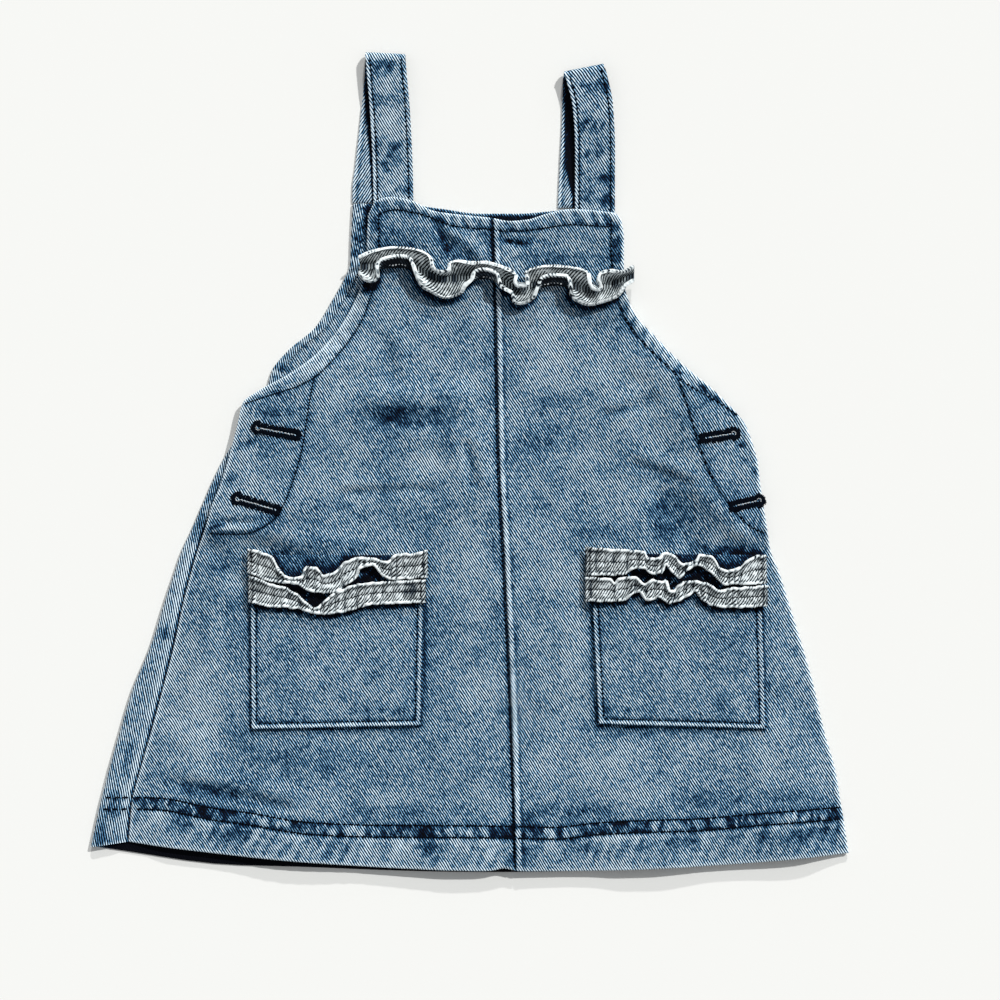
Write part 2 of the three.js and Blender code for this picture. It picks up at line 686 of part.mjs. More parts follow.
const dress = new THREE.Group();
dress.add(
  piece("back_panel", backPanel(), backDenim),
  piece("front_panel_left", frontPanel(true), frontDenim),
  piece("front_panel_right", frontPanel(false), frontDenim),
);
for (const [name, route] of Object.entries(strapRoutes)) dress.add(piece(name, strap(route), strapDenim));
for (const [name, corners] of Object.entries(pouches)) dress.add(piece(name, pouch(corners), frontDenim));
for (const [name, rows] of Object.entries(tiers)) dress.add(piece(name, gatheredTier(rows), paleDenim));
dress.add(piece("bib_frill", bibFrill(), paleDenim));

const buttonMaterial = new THREE.MeshStandardMaterial({ color: 0x2b3440, roughness: 0.45, metalness: 0 });
for (const { name, x, y } of buttonPlaces) {
  const disc = piece(name, button(), buttonMaterial);
  disc.position.set(x, y, clothThickness + seamGap + buttonThickness / 2);
  dress.add(disc);
}

// The origin is on the surface below the middle of the dress.
const box = new THREE.Box3().setFromObject(dress);
const middle = box.getCenter(new THREE.Vector3());
dress.position.set(-middle.x, -middle.y, -box.min.z);

export default dress;
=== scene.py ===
"""Looks of a child's stone-washed denim pinafore dress that lies flat, seen from straight above.

Sizes and places are in millimetres in the dress's own plan: x runs across the dress, y from the
hem up to the straps and z up from the surface. The last step of each mesh puts it in the frame.
"""

import logging
import math
from dataclasses import dataclass, field
from enum import Enum

import bpy
import numpy as np
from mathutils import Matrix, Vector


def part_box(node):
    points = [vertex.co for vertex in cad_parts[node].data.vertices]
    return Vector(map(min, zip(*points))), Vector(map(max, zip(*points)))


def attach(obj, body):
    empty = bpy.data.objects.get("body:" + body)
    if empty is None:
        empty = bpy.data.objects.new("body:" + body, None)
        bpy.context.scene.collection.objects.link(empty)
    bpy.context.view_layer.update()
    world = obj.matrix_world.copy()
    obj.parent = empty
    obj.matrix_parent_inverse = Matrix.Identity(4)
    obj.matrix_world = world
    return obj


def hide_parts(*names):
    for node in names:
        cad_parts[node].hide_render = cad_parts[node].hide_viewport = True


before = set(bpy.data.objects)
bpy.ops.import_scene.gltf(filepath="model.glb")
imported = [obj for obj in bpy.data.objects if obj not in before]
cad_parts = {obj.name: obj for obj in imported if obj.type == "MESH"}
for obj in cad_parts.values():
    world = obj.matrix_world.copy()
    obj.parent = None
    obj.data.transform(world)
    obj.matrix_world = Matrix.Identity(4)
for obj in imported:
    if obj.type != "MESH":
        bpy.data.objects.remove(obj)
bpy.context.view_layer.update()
LOG = logging.getLogger("pinafore")

MM = 0.001
PATTERN_UNIT = 100.0
FULL_TURN = 2 * math.pi

# Driving sizes of the cloth, as in the solids. Only BACK_HEM_DROP differs: the solids have 3.5.
CLOTH = 1.0
SEAM_GAP = 0.3
HEM_EXTRA = 0.5
STAND_EXTRA = 0.5
RIDGE_WIDTH = 3.0
RIDGE_EXTRA = 0.8
TURNED_EDGE = 5.5
HEM_BOW = -11.5
BACK_HEM_DROP = 2.1
REST_GAP = 0.9
STAND_LIFT = 2.4
STRAP_LIFT = 1.3
WRAP_PUFF = 1.1
STRAP_WIDTH = 20.0
STRAP_THICKNESS = 1.4
STRAP_FOLD = 2.4
BUTTON_RADIUS = 6.0
BUTTON_THICKNESS = 2.0
FRILL_HALF = 10.0
FRILL_THICKNESS = 1.1
BAND_THICKNESS = 1.1
POUCH_THICKNESS = 1.3
POUCH_RIM = 2.3
POUCH_RIM_EXTRA = 0.4
POUCH_SEAMS = 1.5
EDGE_ROUND = 0.9
EDGE_STEPS = (0.0, 0.2, 0.5, 0.9)
# A place between the two armholes, which tells the front's left side from its right.
FRONT_MIDDLE = 10.0
# How far each row of stitching on a strap lies from its edge.
STRAP_ROW_INSET = 2.2
# Rows of the meshes: upper limit in y and the step to use below it.
FRONT_SPACING = ((-164, 0.85), (108, 1.4), (200, 0.85))
BACK_SPACING = ((200, 1.5),)
# Columns of the front's left half, from its side to the centre seam, and of its right half,
# from the centre seam to its side: counts between the edge, the stitching, the stand and the seam.
LEFT_COLUMNS = (6, 16, 98)
RIGHT_COLUMNS = (7, 88, 18, 6)
# How far down from the neck's edge its curve reaches.
FRONT_NECK_FADE = 21.5
BACK_NECK_FADE = 20
# Small notch in the hem at the centre seam: its place, half width and depth.
NOTCH_X, NOTCH_WIDTH, NOTCH_DEPTH = 18, 5, 1.4
# Height of the weave's relief in metres, and how strongly it shows.
TWILL_RELIEF = 0.0003
TWILL_BUMP = 0.5


def ease(low: float, high: float, value: np.ndarray) -> np.ndarray:
    """Rises smoothly from 0 at low to 1 at high; low may be the larger of the two."""
    t = np.clip((value - low) / (high - low), 0, 1)
    return t * t * (3 - 2 * t)


def bell(distance: np.ndarray, width: float) -> np.ndarray:
    """Falls smoothly from 1 at no distance to nearly 0 at twice the width."""
    return np.exp(-((distance / width) ** 2))


def mix(a: np.ndarray, b: np.ndarray, t: np.ndarray) -> np.ndarray:
    """Goes evenly from a at 0 to b at 1."""
    return a + (b - a) * t


def rounded(distance: np.ndarray) -> np.ndarray:
    """Share of a cloth's thickness at a distance from its edge, so that the edge is round."""
    inward = np.clip(distance / EDGE_ROUND, 0, 1)
    return 0.3 + 0.7 * np.sqrt(1 - (1 - inward) ** 2)


def speckle(x: np.ndarray, y: np.ndarray, cell: float, seed: int) -> np.ndarray:
    """Smooth random values from -1 to 1.

    Args:
        x: places across the dress.
        y: places up the dress.
        cell: size of one patch of the pattern.
        seed: picks the pattern.

    Returns:
        One value for each place.
    """
    reach = 64
    lattice = np.random.default_rng(seed).uniform(-1, 1, (reach, reach))
    u, v = x / cell, y / cell
    i, j = np.floor(u).astype(int), np.floor(v).astype(int)
    s, t = ease(0, 1, u - i), ease(0, 1, v - j)
    corner = [[lattice[(i + a) % reach, (j + b) % reach] for b in (0, 1)] for a in (0, 1)]
    return mix(mix(corner[0][0], corner[1][0], s), mix(corner[0][1], corner[1][1], s), t)


def joined(*parts: np.ndarray) -> np.ndarray:
    """Separate coordinates as the last axis of one array."""
    return np.stack(parts, axis=-1)


def lengths_along(points: np.ndarray) -> np.ndarray:
    """Distance of each of some points from the first, along the line through them."""
    return np.concatenate([[0], np.cumsum(np.linalg.norm(np.diff(points, axis=0), axis=1))])


def placed(name: str, data: bpy.types.ID) -> bpy.types.Object:
    """A new object with a mesh, a light or a camera, linked to the scene."""
    made = bpy.data.objects.new(name, data)
    bpy.context.scene.collection.objects.link(made)
    return made


def between(start: np.ndarray, end: np.ndarray, count: int) -> np.ndarray:
    """Even steps from start to end, without the start itself, as a new last axis."""
    shares = np.arange(1, count + 1) / count
    return start[..., None] + (end - start)[..., None] * shares


@dataclass(frozen=True)
class Table:
    """Rows with named columns, read between the rows without overshooting them."""

    columns: tuple[str, ...]
    rows: tuple[tuple[float, ...], ...]

    def column(self, name: str) -> np.ndarray:
        """All the values of one column."""
        return np.array([row[self.columns.index(name)] for row in self.rows], float)

    def read(self, along: str, name: str, place: np.ndarray) -> np.ndarray:
        """Reads one column at places along another.

        Args:
            along: the column that rises from row to row.
            name: the column to read.
            place: values of the first column.

        Returns:
            The second column's values there.
        """
        xs, ys = self.column(along), self.column(name)
        widths = np.diff(xs)
        slopes = np.diff(ys) / widths
        before, after = slopes[:-1], slopes[1:]
        total = np.where(before + after == 0, 1, before + after)
        inner = np.where(before * after <= 0, 0, 2 * before * after / total)
        tangents = np.concatenate([slopes[:1], inner, slopes[-1:]])
        i = np.clip(np.searchsorted(xs, place) - 1, 0, len(xs) - 2)
        width = widths[i]
        t = np.clip((place - xs[i]) / width, 0, 1)
        ends = (1 + 2 * t) * (1 - t) ** 2 * ys[i] + t * t * (3 - 2 * t) * ys[i + 1]
        bends = t * (1 - t) ** 2 * tangents[i] + t * t * (t - 1) * tangents[i + 1]
        return ends + width * bends

    def levels(self, along: str, place: np.ndarray) -> dict[str, np.ndarray]:
        """Every column at the given places, each as one column of a grid."""
        found = {name: self.read(along, name, place)[:, None] for name in self.columns}
        found[along] = place[:, None]
        return found


FRONT_LEVELS = Table(
    (
        "leftX", "leftY", "leftTurned", "leftPlacket",
        "rightPlacket", "rightTurned", "rightX", "rightY",
    ),
    (
        (-170, -191.5, -163, -134, 152, 183.5, 190.5, -197.2),
        (-168, -169.5, -161.5, -133, 149, 180, 187, -174.5),
        (-167.6, -168, -161, -132.8, 148.7, 179.7, 186.7, -173),
        (-164, -155, -157.5, -131.5, 146, 177, 184, -156.5),
        (-158.5, -136, -152, -129, 143.5, 171.5, 178.5, -137),
        (-153, -115.5, -146.5, -126.5, 142.5, 166.5, 173.5, -115.5),
        (-147, -92.5, -140.5, -123.5, 141.5, 160, 167, -92.5),
        (-143, -73.5, -136.5, -120.5, 140, 154.5, 161, -73.5),
        (-139, -58, -133, -118, 138.5, 149.5, 156, -57.5),
        (-135.5, -46, -129.5, -114, 137, 145.5, 151.5, -46),
        (-131, -34, -125.5, -104, 136.8, 143.5, 149.5, -35.5),
        (-128, -23.5, -122, -92.2, 130.5, 141.5, 147.5, -23),
        (-124.5, -15, -118.5, -88.5, 124, 139, 146, -13.5),
        (-121, -5, -115, -85, 118, 137, 144.5, -1),
        (-118, 6, -112, -82.5, 115.5, 134.5, 142, 8),
        (-115, 17.5, -108.5, -80.8, 112.5, 130, 138.5, 17),
        (-112.5, 28, -106, -79.2, 110.5, 127.5, 134.5, 22.5),
        (-103, 35, -88.5, -77.5, 106.5, 111.5, 122, 35),
        (-91, 41.5, -77.5, -74, 95.5, 100, 111, 44),
        (-80, 49, -67, -63, 86, 90.5, 100.5, 54),
        (-70.5, 58, -60.5, -56.5, 79.5, 84.5, 93.5, 61.5),
        (-63.5, 67, -54.5, -50.5, 75, 80, 88.5, 66.5),
        (-58.5, 75.5, -50.8, -47, 71.5, 76.5, 84, 72.5),
        (-55, 83, -48.2, -44.5, 69.5, 73.5, 80.5, 79),
        (-52, 91.5, -45.8, -42.2, 68.3, 72.2, 78.5, 86.5),
        (-51, 100.5, -44.8, -41.2, 68, 72, 78, 98.5),
        (-50.6, 109, -44.6, -41, 67.8, 71.8, 78, 107.5),
        (-50.4, 114.6, -44.6, -41, 67.6, 71.6, 77.8, 112.8),
        (-50.2, 116, -44.6, -41, 67.5, 71.5, 77.6, 114.2),
        (-50, 122, -44.6, -41, 67, 71, 76.5, 120),
    ),
)
FRONT_NECK = Table(
    ("x", "y"),
    (
        (-50, 122), (-46, 129), (-38.5, 131), (-29.5, 129.5), (-17, 124), (12, 120.5),
        (21, 119), (30, 119.75), (39, 122.5), (51, 124.75), (73, 123), (76.5, 120),
    ),
)
CENTRE_SEAM = Table(
    ("y", "x"), ((-206, 24), (-140, 22), (-50, 18), (-4, 15.5), (82, 13.7), (122, 12.2))
)
PLACKET_FOOT = -34.0
BACK_LEVELS = Table(
    ("leftX", "leftY", "rightX", "rightY"),
    (
        (-188.8, -193.8, 189.5, -197),
        (-183.6, -170.5, 186, -174.5),
        (-183.2, -169, 185.7, -173),
        (-180, -156.5, 183, -156.5),
        (-174.5, -137, 177.5, -137),
        (-168, -115.5, 172.5, -115.5),
        (-158.5, -92.5, 166, -92.5),
        (-152.5, -73.5, 160, -73.5),
        (-147.5, -58.5, 155, -57.5),
        (-143.5, -46.5, 150.5, -46),
        (-138, -34.5, 148.5, -35.5),
        (-133.5, -24, 146.5, -23),
        (-125.5, -6, 143.5, -1),
        (-119.5, 5, 139, 8),
        (-111, 16.5, 133.5, 17),
        (-103, 27, 129, 22.5),
        (-98, 44.5, 107, 44),
        (-90.5, 54, 97, 54),
        (-76.5, 66, 85, 66.5),
        (-67, 81, 77, 79),
        (-62, 90, 75, 86.5),
        (-59, 97.5, 74.5, 98.5),
        (-58.5, 110.5, 74.5, 110.5),
        (-57.7, 127.6, 74, 121.5),
    ),
)
BACK_NECK = Table(
    ("x", "y"),
    (
        (-57.7, 127.6), (-54, 128), (-36.5, 128), (-14, 125.5), (6, 123),
        (26, 123), (39, 124), (56, 125.5), (74, 121.5),
    ),
)
FOLD_COLUMNS = ("x1", "y1", "x2", "y2", "width", "height")
SOFT_FOLDS = Table(
    FOLD_COLUMNS,
    (
        (-38, 26, -8, 12, 15, 1.5),
        (-4, 20, 4, -16, 14, 1.2),
        (98, 52, 112, 20, 13, 1.3),
        (62, 40, 88, 8, 16, 0.9),
        (-66, 30, -44, -6, 16, 0.9),
        (-146, -110, -132, -84, 13, 1.0),
        (-78, -158, -92, -200, 20, 1.3),
        (4, -150, -6, -205, 20, 1.1),
        (82, -158, 92, -205, 20, 1.3),
        (150, -150, 160, -198, 18, 1.0),
        (12, -20, 10, -70, 18, 0.9),
    ),
)
# Creases that only the cloth's surface has: ridges are above 0 and valleys below.
CREASES = Table(
    FOLD_COLUMNS,
    (
        (-46, 31, -4, 33, 6, 0.9),
        (-44, 19, -6, 20, 4.5, -0.8),
        (-1, 6, 3, -12, 3, -0.7),
        (6, 8, 9, -12, 4, 0.6),
        (-62, -17, -18, -15, 2, -0.5),
        (-62, -12.5, -18, -10.5, 3.4, 0.4),
        (70, 22, 92, 30, 2.5, -0.6),
        (72, 27, 94, 35, 3.5, 0.6),
        (84, -3, 110, -12, 2.5, -0.6),
        (86, 2, 112, -7, 3.5, 0.5),
        (92, -14, 112, -44, 6, -0.9),
        (104, -6, 138, -38, 6, 0.9),
        (-100, -44, -72, -56, 5, -0.9),
        (-104, -38, -60, -44, 5, 0.7),
        (-128, -45, -116, -60, 4, -0.6),
        (-148, -162, -92, -174, 3, -0.7),
        (-140, -156, -88, -168, 4, 0.5),
        (-10, 110, 2, 99, 2.5, -0.7),
        (-16, 117, -9, 105, 2.2, -0.7),
        (-12, 118, -5, 106, 2.8, 0.5),
        (-4, 112, 6, 102, 3, 0.6),
        (17, 110.5, 24, 107.3, 1.8, -0.5),
        (24, 107.3, 34, 110.5, 1.8, -0.5),
        (-116, 6, -104, 10, 2, -0.6),
        (-131, -31.8, -120, -31.4, 1.4, -0.7),
        (-120, -31.4, -107, -32.2, 1.4, -0.7),
        (-125, -34.6, -106, -35, 2, 0.5),
        (-42, 60, -38, 40, 4, -0.5),
        (-35, 60, -31, 40, 5, 0.4),
    ),
)
PATCH_COLUMNS = ("x", "y", "long", "wide", "turn", "tone")
# Light and dark patches on the front, of the wash and wear and of painted shade in creases and beside the
# frill, the stands and the pockets: half sizes, turn in degrees and strength.
FRONT_WASH_AND_SHADE = Table(
    PATCH_COLUMNS,
    (
        (-28, 22, 21, 6, 3, -1.0),
        (-22, 19, 13, 3, 3, -0.7),
        (-10, 8, 7, 12, 15, -0.5),
        (-13, 111, 1.6, 7, 25, -1.0),
        (23, 108.5, 7, 1.1, -8, -1.2),
        (-8, 31, 9, 3, -8, -0.5),
        (2, -4, 2.5, 12, 8, -0.7),
        (-41, 50, 5, 13, 5, -0.4),
        (-40, -16, 22, 2, 2, -0.5),
        (-64, -26, 20, 9, -4, -0.35),
        (36, 9, 15, 7, 8, -0.45),
        (48, 29, 16, 5, 0, -0.3),
        (81, 26, 12, 2.5, 14, -0.5),
        (97, -7, 14, 3, -18, -0.5),
        (102, -30, 12, 13, 20, -0.7),
        (130, -48, 18, 4, -12, -1.0),
        (-88, -51, 13, 5, -26, -1.1),
        (-62, -44, 14, 5, 0, -0.5),
        (-121, -52, 9, 6, 0, -0.45),
        (-118, -72, 5, 8, 0, -0.35),
        (72, -37, 16, 5, 0, -0.3),
        (-122, -167, 32, 3.5, -9, -0.8),
        (-40, -177, 34, 4, 0, -0.4),
        (62, -176, 40, 4, 1, -0.4),
        (130, -170, 40, 4, 4, -0.35),
        (30, -188, 7, 12, 0, -0.7),
        (12, -193, 9, 8, 0, 0.5),
        (-70, -150, 40, 12, 0, -0.2),
        (-20, -28, 25, 8, 0, -0.2),
        (-5, 105, 11, 6, -25, -0.9),
        (26, 109, 13, 2.6, 0, -0.5),
        (48, 100, 25, 3, 0, -0.5),
        (-28, 60, 18, 14, 0, -0.3),
        (-18, 112, 26, 9, 0, 0.1),
        (-50, 87, 4.5, 3.5, 30, -2.6),
        (107.5, 42, 4, 1.6, -40, -1.4),
        (110, 38.5, 3, 1.2, -40, 1.2),
        (117.6, 35.3, 4, 1.6, -35, -1.4),
        (124.3, 29.5, 4, 1.4, -35, -1.2),
        (128.5, 29, 3, 1.0, -35, 1.4),
        (132.7, 23.7, 3, 1.6, -30, -1.2),
        (139.5, 14, 1.4, 6, 15, 1.2),
        (137, 7, 2.4, 1.4, 0, -1.3),
        (143.6, -6, 1.6, 5, 10, -0.9),
        (146.5, -20, 2, 2.4, 0, -1.0),
        (140, -46, 10, 3.5, -8, -1.2),
        (-30, 112, 13, 5, -10, -0.3),
        (75, 106, 2.2, 9, 0, -1.2),
        (12, 104, 4, 9, 0, -0.5),
        (124, 30, 7, 4, 40, -0.5),
        (-111, 7.5, 7, 2.4, 20, -0.8),
        (-94, 23, 9, 3, 0, -0.5),
        (-120, -10, 7, 3, 10, -0.6),
        (-100, -30, 9, 2.5, -10, -0.5),
        (-127, -34, 5, 0.9, 6, -1.7),
        (-118, -30.6, 8, 1.2, 0, -0.6),
        (-118, -34.4, 8, 1.2, 0, 0.6),
        (-58, 14, 12, 9, 20, 0.3),
        (-20, -2, 18, 5, 0, 0.3),
        (58, 52, 22, 12, -20, 0.25),
        (45, -90, 14, 40, 0, 0.2),
        (-60, 36, 14, 8, 40, 0.3),
        (-135, -130, 12, 30, 10, 0.2),
        (110, -150, 40, 10, 0, 0.15),
    ),
)
HEM_ROW = Table(
    ("x", "y"),
    (
        (-186, -169), (-155.5, -169.5), (-127, -174.5), (-108, -177), (-79, -181.5), (-44, -183),
        (-9.5, -183), (23, -183.5), (44, -184), (62, -182), (86, -180.5), (110.5, -180),
        (146.5, -177), (190, -174),
    ),
)
HEM_ROWS_APART = 5.8
# Painted shade beside the lines where other pieces touch the front: half width and strength.
CONTACT_SHADE = (
    ("frill", 1.9, -3.4), ("frill_head", 1.5, -1.0), ("left", 0.8, -2.0), ("left", 3.5, -0.5),
    ("right", 0.8, -2.0), ("right", 3.5, -0.5),
)
# The roping of the front's edges: line, width of the band, its side of the line and strength.
ROPED = (
    ("hem", 24, -1, 1.0), ("armhole_left", 8, -1, 1.7), ("armhole_right", 8, 1, 2.2),
    ("neck", 8, 1, 2.2),
)
FLAP_LIFT = Table(("share", "lift"), ((0, 0), (0.45, 0.6), (1, 1)))
SEAMS = {
    "armhole_left": (
        (-44.5, 121.5), (-44.5, 104.5), (-45.3, 95), (-48.5, 82), (-53, 69.5), (-61, 57),
        (-66.5, 50.5), (-76, 41), (-85.5, 36), (-98, 32), (-111.5, 27.5),
    ),
    "armhole_right": (
        (71.5, 119), (71.5, 104), (73, 90), (77, 73.5), (86, 60), (102, 44), (107, 39),
        (124.5, 28.5), (134.5, 22),
    ),
    "placket_left": (
        (-76.2, 42), (-77.2, 38), (-79.5, 25.5), (-82, 9), (-84.5, -2), (-88.5, -14.5), (-92, -23),
        (-96, -29.5), (-103, -34.5), (-111.3, -37.4), (-124, -37.5), (-131, -36.5),
    ),
    "placket_right": (
        (105.5, 38), (109.5, 26), (115, 8), (118.3, -1.5), (122.8, -11.5), (130.5, -23),
        (136.8, -30), (142, -34.5), (150, -37.5),
    ),
    "neck": (
        (-45, 122), (-41.5, 123.5), (-35.5, 124.5), (-29, 123.5), (-19.5, 121), (-9, 117),
        (0, 115.5), (11, 115), (16.5, 114), (25.5, 114), (39, 115.5), (50.5, 117), (71, 116),
    ),
}
BUTTONHOLES = (
    ((-108, 16), (-83.5, 11.5)),
    ((-118, -19), (-93.5, -26)),
    ((135.9, 13.2), (115.8, 10)),
    ((148.5, -20), (130.5, -24)),
)
BUTTONS = {
    "button_left_upper": (-98.6, 14.5),
    "button_left_lower": (-109.0, -21.5),
    "button_right_upper": (124.0, 11.0),
    "button_right_lower": (136.0, -21.0),
}
# Each strap's gap entries set the painted shadow on its lower leg.
STRAPS = {
    "left": {
        "front": Table(
            ("y", "x"), ((118.5, -37.2), (139.5, -37.5), (174.5, -39), (192, -40.5), (202, -41.3))
        ),
        "back": Table(
            ("y", "x"),
            ((128.4, -48), (137, -47.8), (147, -46.5), (169.5, -44), (189.5, -42), (202, -41.3)),
        ),
        "top": 202.2,
        "slant": -1.0,
        "gap": (1.0, 3.6),
        "tone": 0.85,
        "shadow_top": 200.0,
        "patches": (
            (-40, 196, 10, 5), (-44, 179, 9, 3.5), (-38, 157, 9, 3), (-42, 149, 5, 6), (-34, 133, 8, 4),
        ),
    },
    "right": {
        "front": Table(
            ("y", "x"), ((116.5, 63.5), (154.5, 63.5), (175.5, 62.4), (189.5, 59.5), (196, 57.6))
        ),
        "back": Table(
            ("y", "x"), ((125.9, 55), (134.5, 55.3), (147, 56), (169.5, 57), (196, 57.6))
        ),
        "top": 195.0,
        "slant": 4.0,
        "gap": (1.6, 6.0),
        "tone": 0.45,
        "shadow_top": 150.0,
        "patches": (
            (60, 166, 9, 3.5), (59, 153, 8, 5), (66, 141, 7, 4), (62, 186, 9, 3), (66, 131, 8, 4),
        ),
    },
}
POUCHES = {
    "left": ((-109, -48), (-21.5, -48), (-108.3, -135.2), (-23.5, -133.3)),
    "right": ((60.6, -47), (146.2, -48), (65, -132.6), (148.8, -135)),
}
# Head and foot of each strip of the pockets' bands, as places from left to right.
TIER_EDGES = {
    "left_upper": (
        (
            (-110, -44.5), (-98, -48), (-94, -55), (-88.5, -59), (-83, -58.3), (-80.5, -53.5),
            (-76, -53.5), (-72, -57.5), (-65.5, -55.5), (-62, -51.5), (-54, -49), (-46, -49.5),
            (-40.5, -51), (-35.5, -47), (-27, -47), (-20, -45),
        ),
        (
            (-110.5, -56.4), (-104.7, -59), (-95, -61.8), (-85, -62.4), (-80, -65.8),
            (-70.7, -66.8), (-64, -65.8), (-61, -63), (-55.5, -59.5), (-54, -55.3), (-47.2, -53.3),
            (-42.6, -58.2), (-38, -60.2), (-19.7, -59.2),
        ),
    ),
    "left_lower": (
        (
            (-109.5, -57.8), (-97, -62.2), (-88.5, -65), (-82, -69.8), (-76.3, -74), (-71.5, -70.5),
            (-67, -66.8), (-53.7, -62), (-41.5, -60.9), (-21, -60.1),
        ),
        (
            (-110, -71.3), (-100, -73.5), (-85, -74.8), (-76, -77), (-70.8, -77.4), (-60.3, -76),
            (-47.2, -72.6), (-20.5, -71.7),
        ),
    ),
    "right_upper": (
        (
            (58.4, -43.9), (79, -45.2), (87.8, -46.3), (89.8, -49.1), (95.4, -49.1), (97, -46.5),
            (100, -46.5), (103.2, -48.5), (107.4, -52), (114, -50), (115, -47.5), (120.8, -47.8),
            (123.8, -51), (125.2, -53.7), (130.6, -55.3), (136.5, -53), (138.5, -50.4),
            (145, -47.8), (149, -47.8),
        ),
        (
            (58.7, -58.2), (78.3, -57.9), (82.3, -54.9), (87.5, -55), (92, -57.5), (96.7, -57),
            (98.6, -53), (101.9, -57), (105.2, -59.5), (109, -56), (113.7, -53.3), (120.2, -56),
            (124, -59.5), (128, -62.8), (149, -62.2),
        ),
    ),
    "right_lower": (
        (
            (58.4, -58.9), (71, -59.2), (73, -61.5), (75, -59), (83.5, -58.7), (88, -62.2),
            (92, -59.5), (95.4, -60.9), (98.6, -60.2), (100.3, -64.8), (102.2, -65.5),
            (105.2, -62.2), (111, -60.5), (120.2, -62.2), (124.8, -65.2), (130.5, -64.2),
            (149.5, -63),
        ),
        (
            (58.7, -71.3), (78.3, -70.7), (82.3, -67.4), (85.5, -66.7), (88.8, -70.7),
            (95.4, -69.4), (100, -72), (105.2, -70.7), (110.4, -68), (113, -66), (116.3, -70),
            (121.5, -73.3), (130.6, -74.2), (149.5, -73.6),
        ),
    ),
}
TIERS = {
    name: tuple(Table(("x", "y"), rows) for rows in edges) for name, edges in TIER_EDGES.items()
}
# The frill's three lines, each read by the place along its stitching.
FRILL_STITCHING = Table(
    ("along", "y"),
    (
        (-54, 96), (-33, 97), (-12, 90), (8.5, 91.5), (26, 85.5), (43.5, 88.2), (60, 84.5),
        (83, 91.5),
    ),
)
FRILL_EDGE = ("along", "x", "y")
FRILL_UPPER = Table(
    FRILL_EDGE,
    (
        (-54, -54.5, 99.8), (-46.5, -46.6, 103.6), (-37, -37, 105.6), (-28.5, -27.4, 104.9),
        (-23, -20.7, 102.7), (-19.5, -18.2, 99.8), (-16.5, -17.7, 95.7), (-13, -14, 92.6),
        (-10, -9.3, 93.6), (-7.5, -9.3, 97.4), (-4, -5.4, 98.8), (2.2, 2.2, 97.4),
        (8, 8, 97.7), (13.7, 13.7, 96.5), (19.5, 20.4, 94.1), (22.5, 24.2, 90.7),
        (24.3, 23.3, 87.4), (26, 25.2, 85), (28, 30, 85.9), (29.5, 29.5, 89.8),
        (31, 28.5, 92.6), (33.5, 31.9, 95), (39.5, 39.5, 96.3), (48, 48.1, 96),
        (55, 55.8, 95), (58.5, 60.1, 92.6), (60.5, 60.6, 87.8), (62.3, 62, 84),
        (64.5, 65.4, 83.1), (66, 66.3, 85), (67.5, 64.4, 88.8), (69, 65.4, 92.1),
        (71.5, 70.1, 93.6), (76.8, 76.8, 92.6), (83, 82.6, 95.5),
    ),
)
FRILL_LOWER = Table(
    FRILL_EDGE,
    (
        (-54, -54.5, 94.5), (-52, -52.2, 89.6), (-49.5, -47.4, 87.8), (-47.5, -44.2, 90.4),
        (-45.5, -45, 96.3), (-42.5, -43, 99.7), (-35, -34.1, 101.7), (-30, -29.3, 101.2),
        (-27, -27.4, 97.4), (-24.5, -25.5, 91.7), (-22, -23.1, 85.9), (-18.5, -18.8, 83.1),
        (-11.2, -11.2, 79.7), (-4.5, -3.5, 82.1), (-1.5, -1.6, 85.9), (1.5, 2.2, 89.8),
        (4, 3.2, 93.6), (8, 8, 95), (13, 14.7, 92.6), (16.5, 16.6, 85.9), (20.5, 22.3, 82.1),
        (23.5, 23.3, 77.3), (26.5, 26.1, 76.8), (31.5, 32.8, 80.2), (34.5, 34.8, 85.9),
        (37.5, 36.7, 90.7), (42.4, 42.4, 92.1), (48, 49.1, 91.7), (51, 51, 87.8),
        (53, 51, 82.1), (55.5, 54.8, 78.3), (60.6, 60.6, 76.4), (68, 68.2, 78.3),
        (74, 74.9, 81.1), (78.5, 77.8, 85.9), (83, 82.6, 89.3),
    ),
)


@dataclass(frozen=True)
class StitchSize:
    """Length of a stitch, the space after it and the width of its thread."""

    length: float
    gap: float
    width: float


SEAM_STITCH = StitchSize(2.5, 0.2, 0.62)
HEM_STITCH = StitchSize(3.0, 0.25, 0.95)
BAND_STITCH = StitchSize(1.5, 0.5, 0.5)
GATHER_STITCH = StitchSize(0.9, 0.6, 0.8)
EDGING_WIDTH = 0.6
SLIT_WIDTH = 0.4


class Held(Enum):
    """How a piece of cloth is held."""

    LAID = "laid"
    FOLDED = "folded"
    GATHERED = "gathered"


@dataclass(frozen=True)
class Num:
    """A number in a shader; the usual operators on it add Math nodes."""

    shader: "Shader"
    socket: bpy.types.NodeSocket

    def _with(self, operation: str, *others: "Num | float") -> "Num":
        """A Math node on this number and others, in this order."""
        return self.shader.maths(operation, self, *others)

    def __add__(self, other: "Num | float") -> "Num":
        """This number plus another."""
        return self._with("ADD", other)

    def __sub__(self, other: "Num | float") -> "Num":
        """This number less another."""
        return self._with("SUBTRACT", other)

    def __rsub__(self, other: float) -> "Num":
        """Another number less this one."""
        return self.shader.maths("SUBTRACT", other, self)

    def __mul__(self, other: "Num | float") -> "Num":
        """This number times another."""
        return self._with("MULTIPLY", other)

    def sine(self) -> "Num":
        """Sine of this number, in radians."""
        return self._with("SINE")

    def step(self, low: float, high: float) -> "Num":
        """Rises smoothly from 0 at low to 1 at high."""
        node = self.shader.node(
            "ShaderNodeMapRange",
            {"interpolation_type": "SMOOTHSTEP"},
            {0: self, 1: low, 2: high, 3: 0.0, 4: 1.0},
        )
        return Num(self.shader, node.outputs[0])


